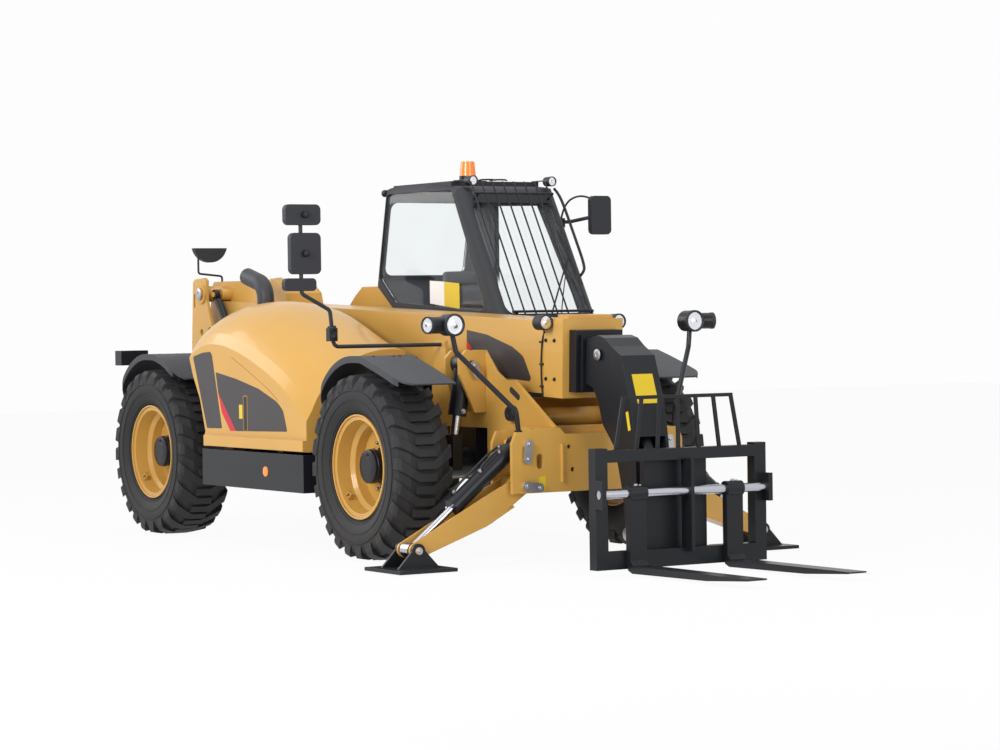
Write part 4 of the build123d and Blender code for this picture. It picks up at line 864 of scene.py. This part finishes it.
for x, y, z, wide, high in ((-331, -1352, 2213, 254, 133), (-331, -1335, 1965, 218, 265),
                            (-331, -1376, 1766, 228, 82), (-791, 1250, 2240, 165, 270)):
    half_wide, half_high = wide / 2 - 9, high / 2 - 9
    outline = []
    for k in range(24):
        angle = math.tau * (k + 0.5) / 24
        cut = min(half_wide, half_high) * 0.35
        outline.append(at(x, y + math.copysign(half_wide - cut, math.cos(angle))
                          + cut * math.cos(angle),
                          z + math.copysign(half_high - cut, math.sin(angle))
                          + cut * math.sin(angle)))
    sheet_into(faces, outline, Vector((-0.0015, 0, 0)))
add_piece("mirror_faces", faces, "chassis", "mirror face")
door_face = 1050
add_tube("door_handle", [at(-960, door_face - 4, 1180), at(-960, door_face + 20, 1180),
                         at(-940, door_face + 24, 1180), at(-860, door_face + 24, 1180),
                         at(-840, door_face + 20, 1180), at(-840, door_face - 4, 1180)],
         0.008, "door", "satin black")
for y in (545, 640):
    add_tube(f"roof_rod_{y}", [at(-1229, y, 2492), at(-1229, y, 2500), at(-1200, y + 60, 2502),
                               at(-1179, y + 105, 2500), at(-1179, y + 105, 2492)], 0.006,
             "chassis", "satin black")
rear_lamp = bmesh.new()
turned_into(rear_lamp, [(0, 0), (0, 0.018), (0.020, 0.025), (0.040, 0.026), (0.042, 0)],
            at(-2025, 262, 2440), Vector((-1, 0, -0.1)), 28)
add_piece("rear_roof_lamp", rear_lamp, "chassis", "satin black")
print("cab fittings made")

# %% [markdown]
# Lamps behind, bolts on the fenders and the hoses of the stabiliser rams come last. The hoses
# are clipped along their barrels and swing with them.

# %% Rear lenses, fender bolts and ram hoses
leg_ahead = 925
tip_pin = (1300, 135)
for side_name, sign in sides.items():
    for y, finish in ((855, "amber lens"), (965, "red lens")):
        lens = bmesh.new()
        turned_into(lens, [(-0.002, 0.043), (0.006, 0.041), (0.009, 0.030), (0.010, 0)],
                    at(-3930, sign * y, 1270), Vector((-1, 0, 0)), 36)
        add_piece(f"{finish.split()[0]}_rear_lens_{side_name}", lens, "chassis", finish)
    for end in ("front", "rear"):
        low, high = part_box(f"fender_{end}_{side_name}")
        bolts = bmesh.new()
        for share, inward in ((0.54, 0.25), (0.54, 0.75), (0.62, 0.5)):
            x = low.x + (high.x - low.x) * share
            y = low.y + (high.y - low.y) * (inward if sign > 0 else 1 - inward)
            bolt_into(bolts, Vector((x, y, high.z - 0.0065)), Vector((0, 0, 1)), 0.010)
        add_piece(f"fender_bolts_{end}_{side_name}", bolts,
                  f"knuckle_{end}_{side_name}_body", "satin black")
    top = at(leg_ahead, sign * ram_pin[0], ram_pin[1])
    tip = at(leg_ahead, sign * tip_pin[0], tip_pin[1])
    run = (tip - top).normalized()
    upward = Vector((0, -sign * run.z, sign * run.y)).normalized()
    if upward.z < 0:
        upward = -upward
    barrel = f"ram_barrel_{side_name}"
    for k, (near, far) in enumerate(((0.10, 0.50), (0.14, 0.30))):
        shift = Vector((0.026 if k else -0.026, 0, 0))
        points = [top + run * (near - 0.02) + upward * 0.050 + shift,
                  top + run * near + upward * 0.072 + shift,
                  top + run * (near + far) * 0.6 + upward * 0.070 + shift,
                  top + run * (far - 0.01) + upward * 0.070 + shift,
                  top + run * (far + 0.02) + upward * 0.050 + shift]
        add_tube(f"ram_hose_{side_name}_{k}", points, 0.008, barrel, "hose rubber")
    pin_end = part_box(f"stabiliser_leg_{side_name}")[1].x
    cap = bmesh.new()
    turned_into(cap, [(0, 0), (0, 0.023), (0.003, 0.021), (0.003, 0)],
                Vector((pin_end, tip.y, tip.z)), ahead_way, 32)
    turned_into(cap, [(0.003, 0), (0.003, 0.010), (0.006, 0.008), (0.006, 0)],
                Vector((pin_end, tip.y, tip.z)), ahead_way, 24)
    add_piece(f"pad_pin_cap_{side_name}", cap, f"leg_{side_name}", "zinc plate")
    fittings = bmesh.new()
    for near, sideways in ((0.10, -0.026), (0.14, 0.026), (0.52, -0.026), (0.32, 0.026)):
        turned_into(fittings, [(0.046, 0), (0.046, 0.013), (0.060, 0.013), (0.060, 0.010),
                               (0.066, 0.010), (0.066, 0)],
                    top + run * (near - 0.004) + Vector((sideways, 0, 0)), upward, 18)
    add_piece(f"ram_fittings_{side_name}", fittings, barrel, "zinc plate")
print("lenses, fender bolts and ram hoses made")

# %% [markdown]
# The stage is a pale floor under soft light. The floor and the world look white to the camera,
# while the lamps stay weak enough that every finish renders about as it is written.

# %% Floor, light and world
bpy.ops.mesh.primitive_plane_add(size=60, location=(0, 0, -0.0005))
floor = bpy.context.object
floor.name = "studio_floor"
floor_finish = bpy.data.materials.new("studio floor")
floor_finish.use_nodes = True
tree = floor_finish.node_tree
tree.nodes["Principled BSDF"].inputs["Base Color"].default_value = (0.86, 0.86, 0.86, 1)
tree.nodes["Principled BSDF"].inputs["Roughness"].default_value = 0.9
white = tree.nodes.new("ShaderNodeEmission")
white.inputs["Color"].default_value = (0.985, 0.985, 0.985, 1)
ray = tree.nodes.new("ShaderNodeLightPath")
blend = tree.nodes.new("ShaderNodeMixShader")
seen = math_node(tree, "ADD", ray.outputs["Is Camera Ray"], ray.outputs["Is Transmission Ray"],
                 True)
seen = math_node(tree, "ADD", seen, ray.outputs["Is Glossy Ray"], True)
tree.links.new(math_node(tree, "MULTIPLY", seen, 0.96), blend.inputs["Fac"])
tree.links.new(tree.nodes["Principled BSDF"].outputs[0], blend.inputs[1])
tree.links.new(white.outputs[0], blend.inputs[2])
tree.links.new(blend.outputs[0], tree.nodes["Material Output"].inputs["Surface"])
floor.data.materials.append(floor_finish)

world = bpy.data.worlds.new("studio")
bpy.context.scene.world = world
world.use_nodes = True
tree = world.node_tree
lit = tree.nodes["Background"]
lit.inputs["Color"].default_value = (1.0, 1.0, 1.0, 1)
lit.inputs["Strength"].default_value = 0.42
shown = tree.nodes.new("ShaderNodeBackground")
shown.inputs["Color"].default_value = (0.985, 0.985, 0.985, 1)
ray = tree.nodes.new("ShaderNodeLightPath")
seen = math_node(tree, "ADD", ray.outputs["Is Camera Ray"], ray.outputs["Is Transmission Ray"],
                 True)
seen = math_node(tree, "ADD", seen, ray.outputs["Is Glossy Ray"], True)
blend = tree.nodes.new("ShaderNodeMixShader")
tree.links.new(seen, blend.inputs["Fac"])
tree.links.new(lit.outputs[0], blend.inputs[1])
tree.links.new(shown.outputs[0], blend.inputs[2])
tree.links.new(blend.outputs[0], tree.nodes["World Output"].inputs["Surface"])

lights = {
    "key": ((4.5, -10.5, 5.5), 1150, 5.0),
    "front": ((9.5, 1.0, 3.5), 260, 4.0),
    "top": ((0.0, 0.0, 9.0), 330, 8.0),
    "rear": ((-8.0, -5.0, 5.0), 260, 5.0),
}
for name, (place, power, size) in lights.items():
    lamp = bpy.data.lights.new(name, "AREA")
    lamp.energy = power
    lamp.size = size
    holder = bpy.data.objects.new(name, lamp)
    holder.location = place
    towards = Vector((0, 0, 0.9)) - holder.location
    holder.rotation_euler = towards.to_track_quat("-Z", "Y").to_euler()
    bpy.context.collection.objects.link(holder)

# %% [markdown]
# The camera stands far off with a long lens, a little above hub height, and looks back along
# the machine from its right front corner.

# %% Camera
camera_place = Vector((wheel_hub.x + 16.5266, -10.3203, 1.5652))
heading, pitch, roll = 2.5862, -0.0208, -0.0145
look = Vector((math.cos(heading) * math.cos(pitch), math.sin(heading) * math.cos(pitch),
               math.sin(pitch)))
level_right = look.cross(Vector((0, 0, 1))).normalized()
level_up = level_right.cross(look)
right = level_right * math.cos(roll) + level_up * math.sin(roll)
up = level_up * math.cos(roll) - level_right * math.sin(roll)
camera = bpy.data.cameras.new("camera")
camera.sensor_width = 36
camera.lens = 106.97
camera.clip_end = 200
viewer = bpy.data.objects.new("camera", camera)
viewer.matrix_world = Matrix((
    (right.x, up.x, -look.x, camera_place.x),
    (right.y, up.y, -look.y, camera_place.y),
    (right.z, up.z, -look.z, camera_place.z),
    (0, 0, 0, 1)))
bpy.context.collection.objects.link(viewer)
bpy.context.scene.camera = viewer
bpy.context.scene.view_settings.view_transform = "Standard"
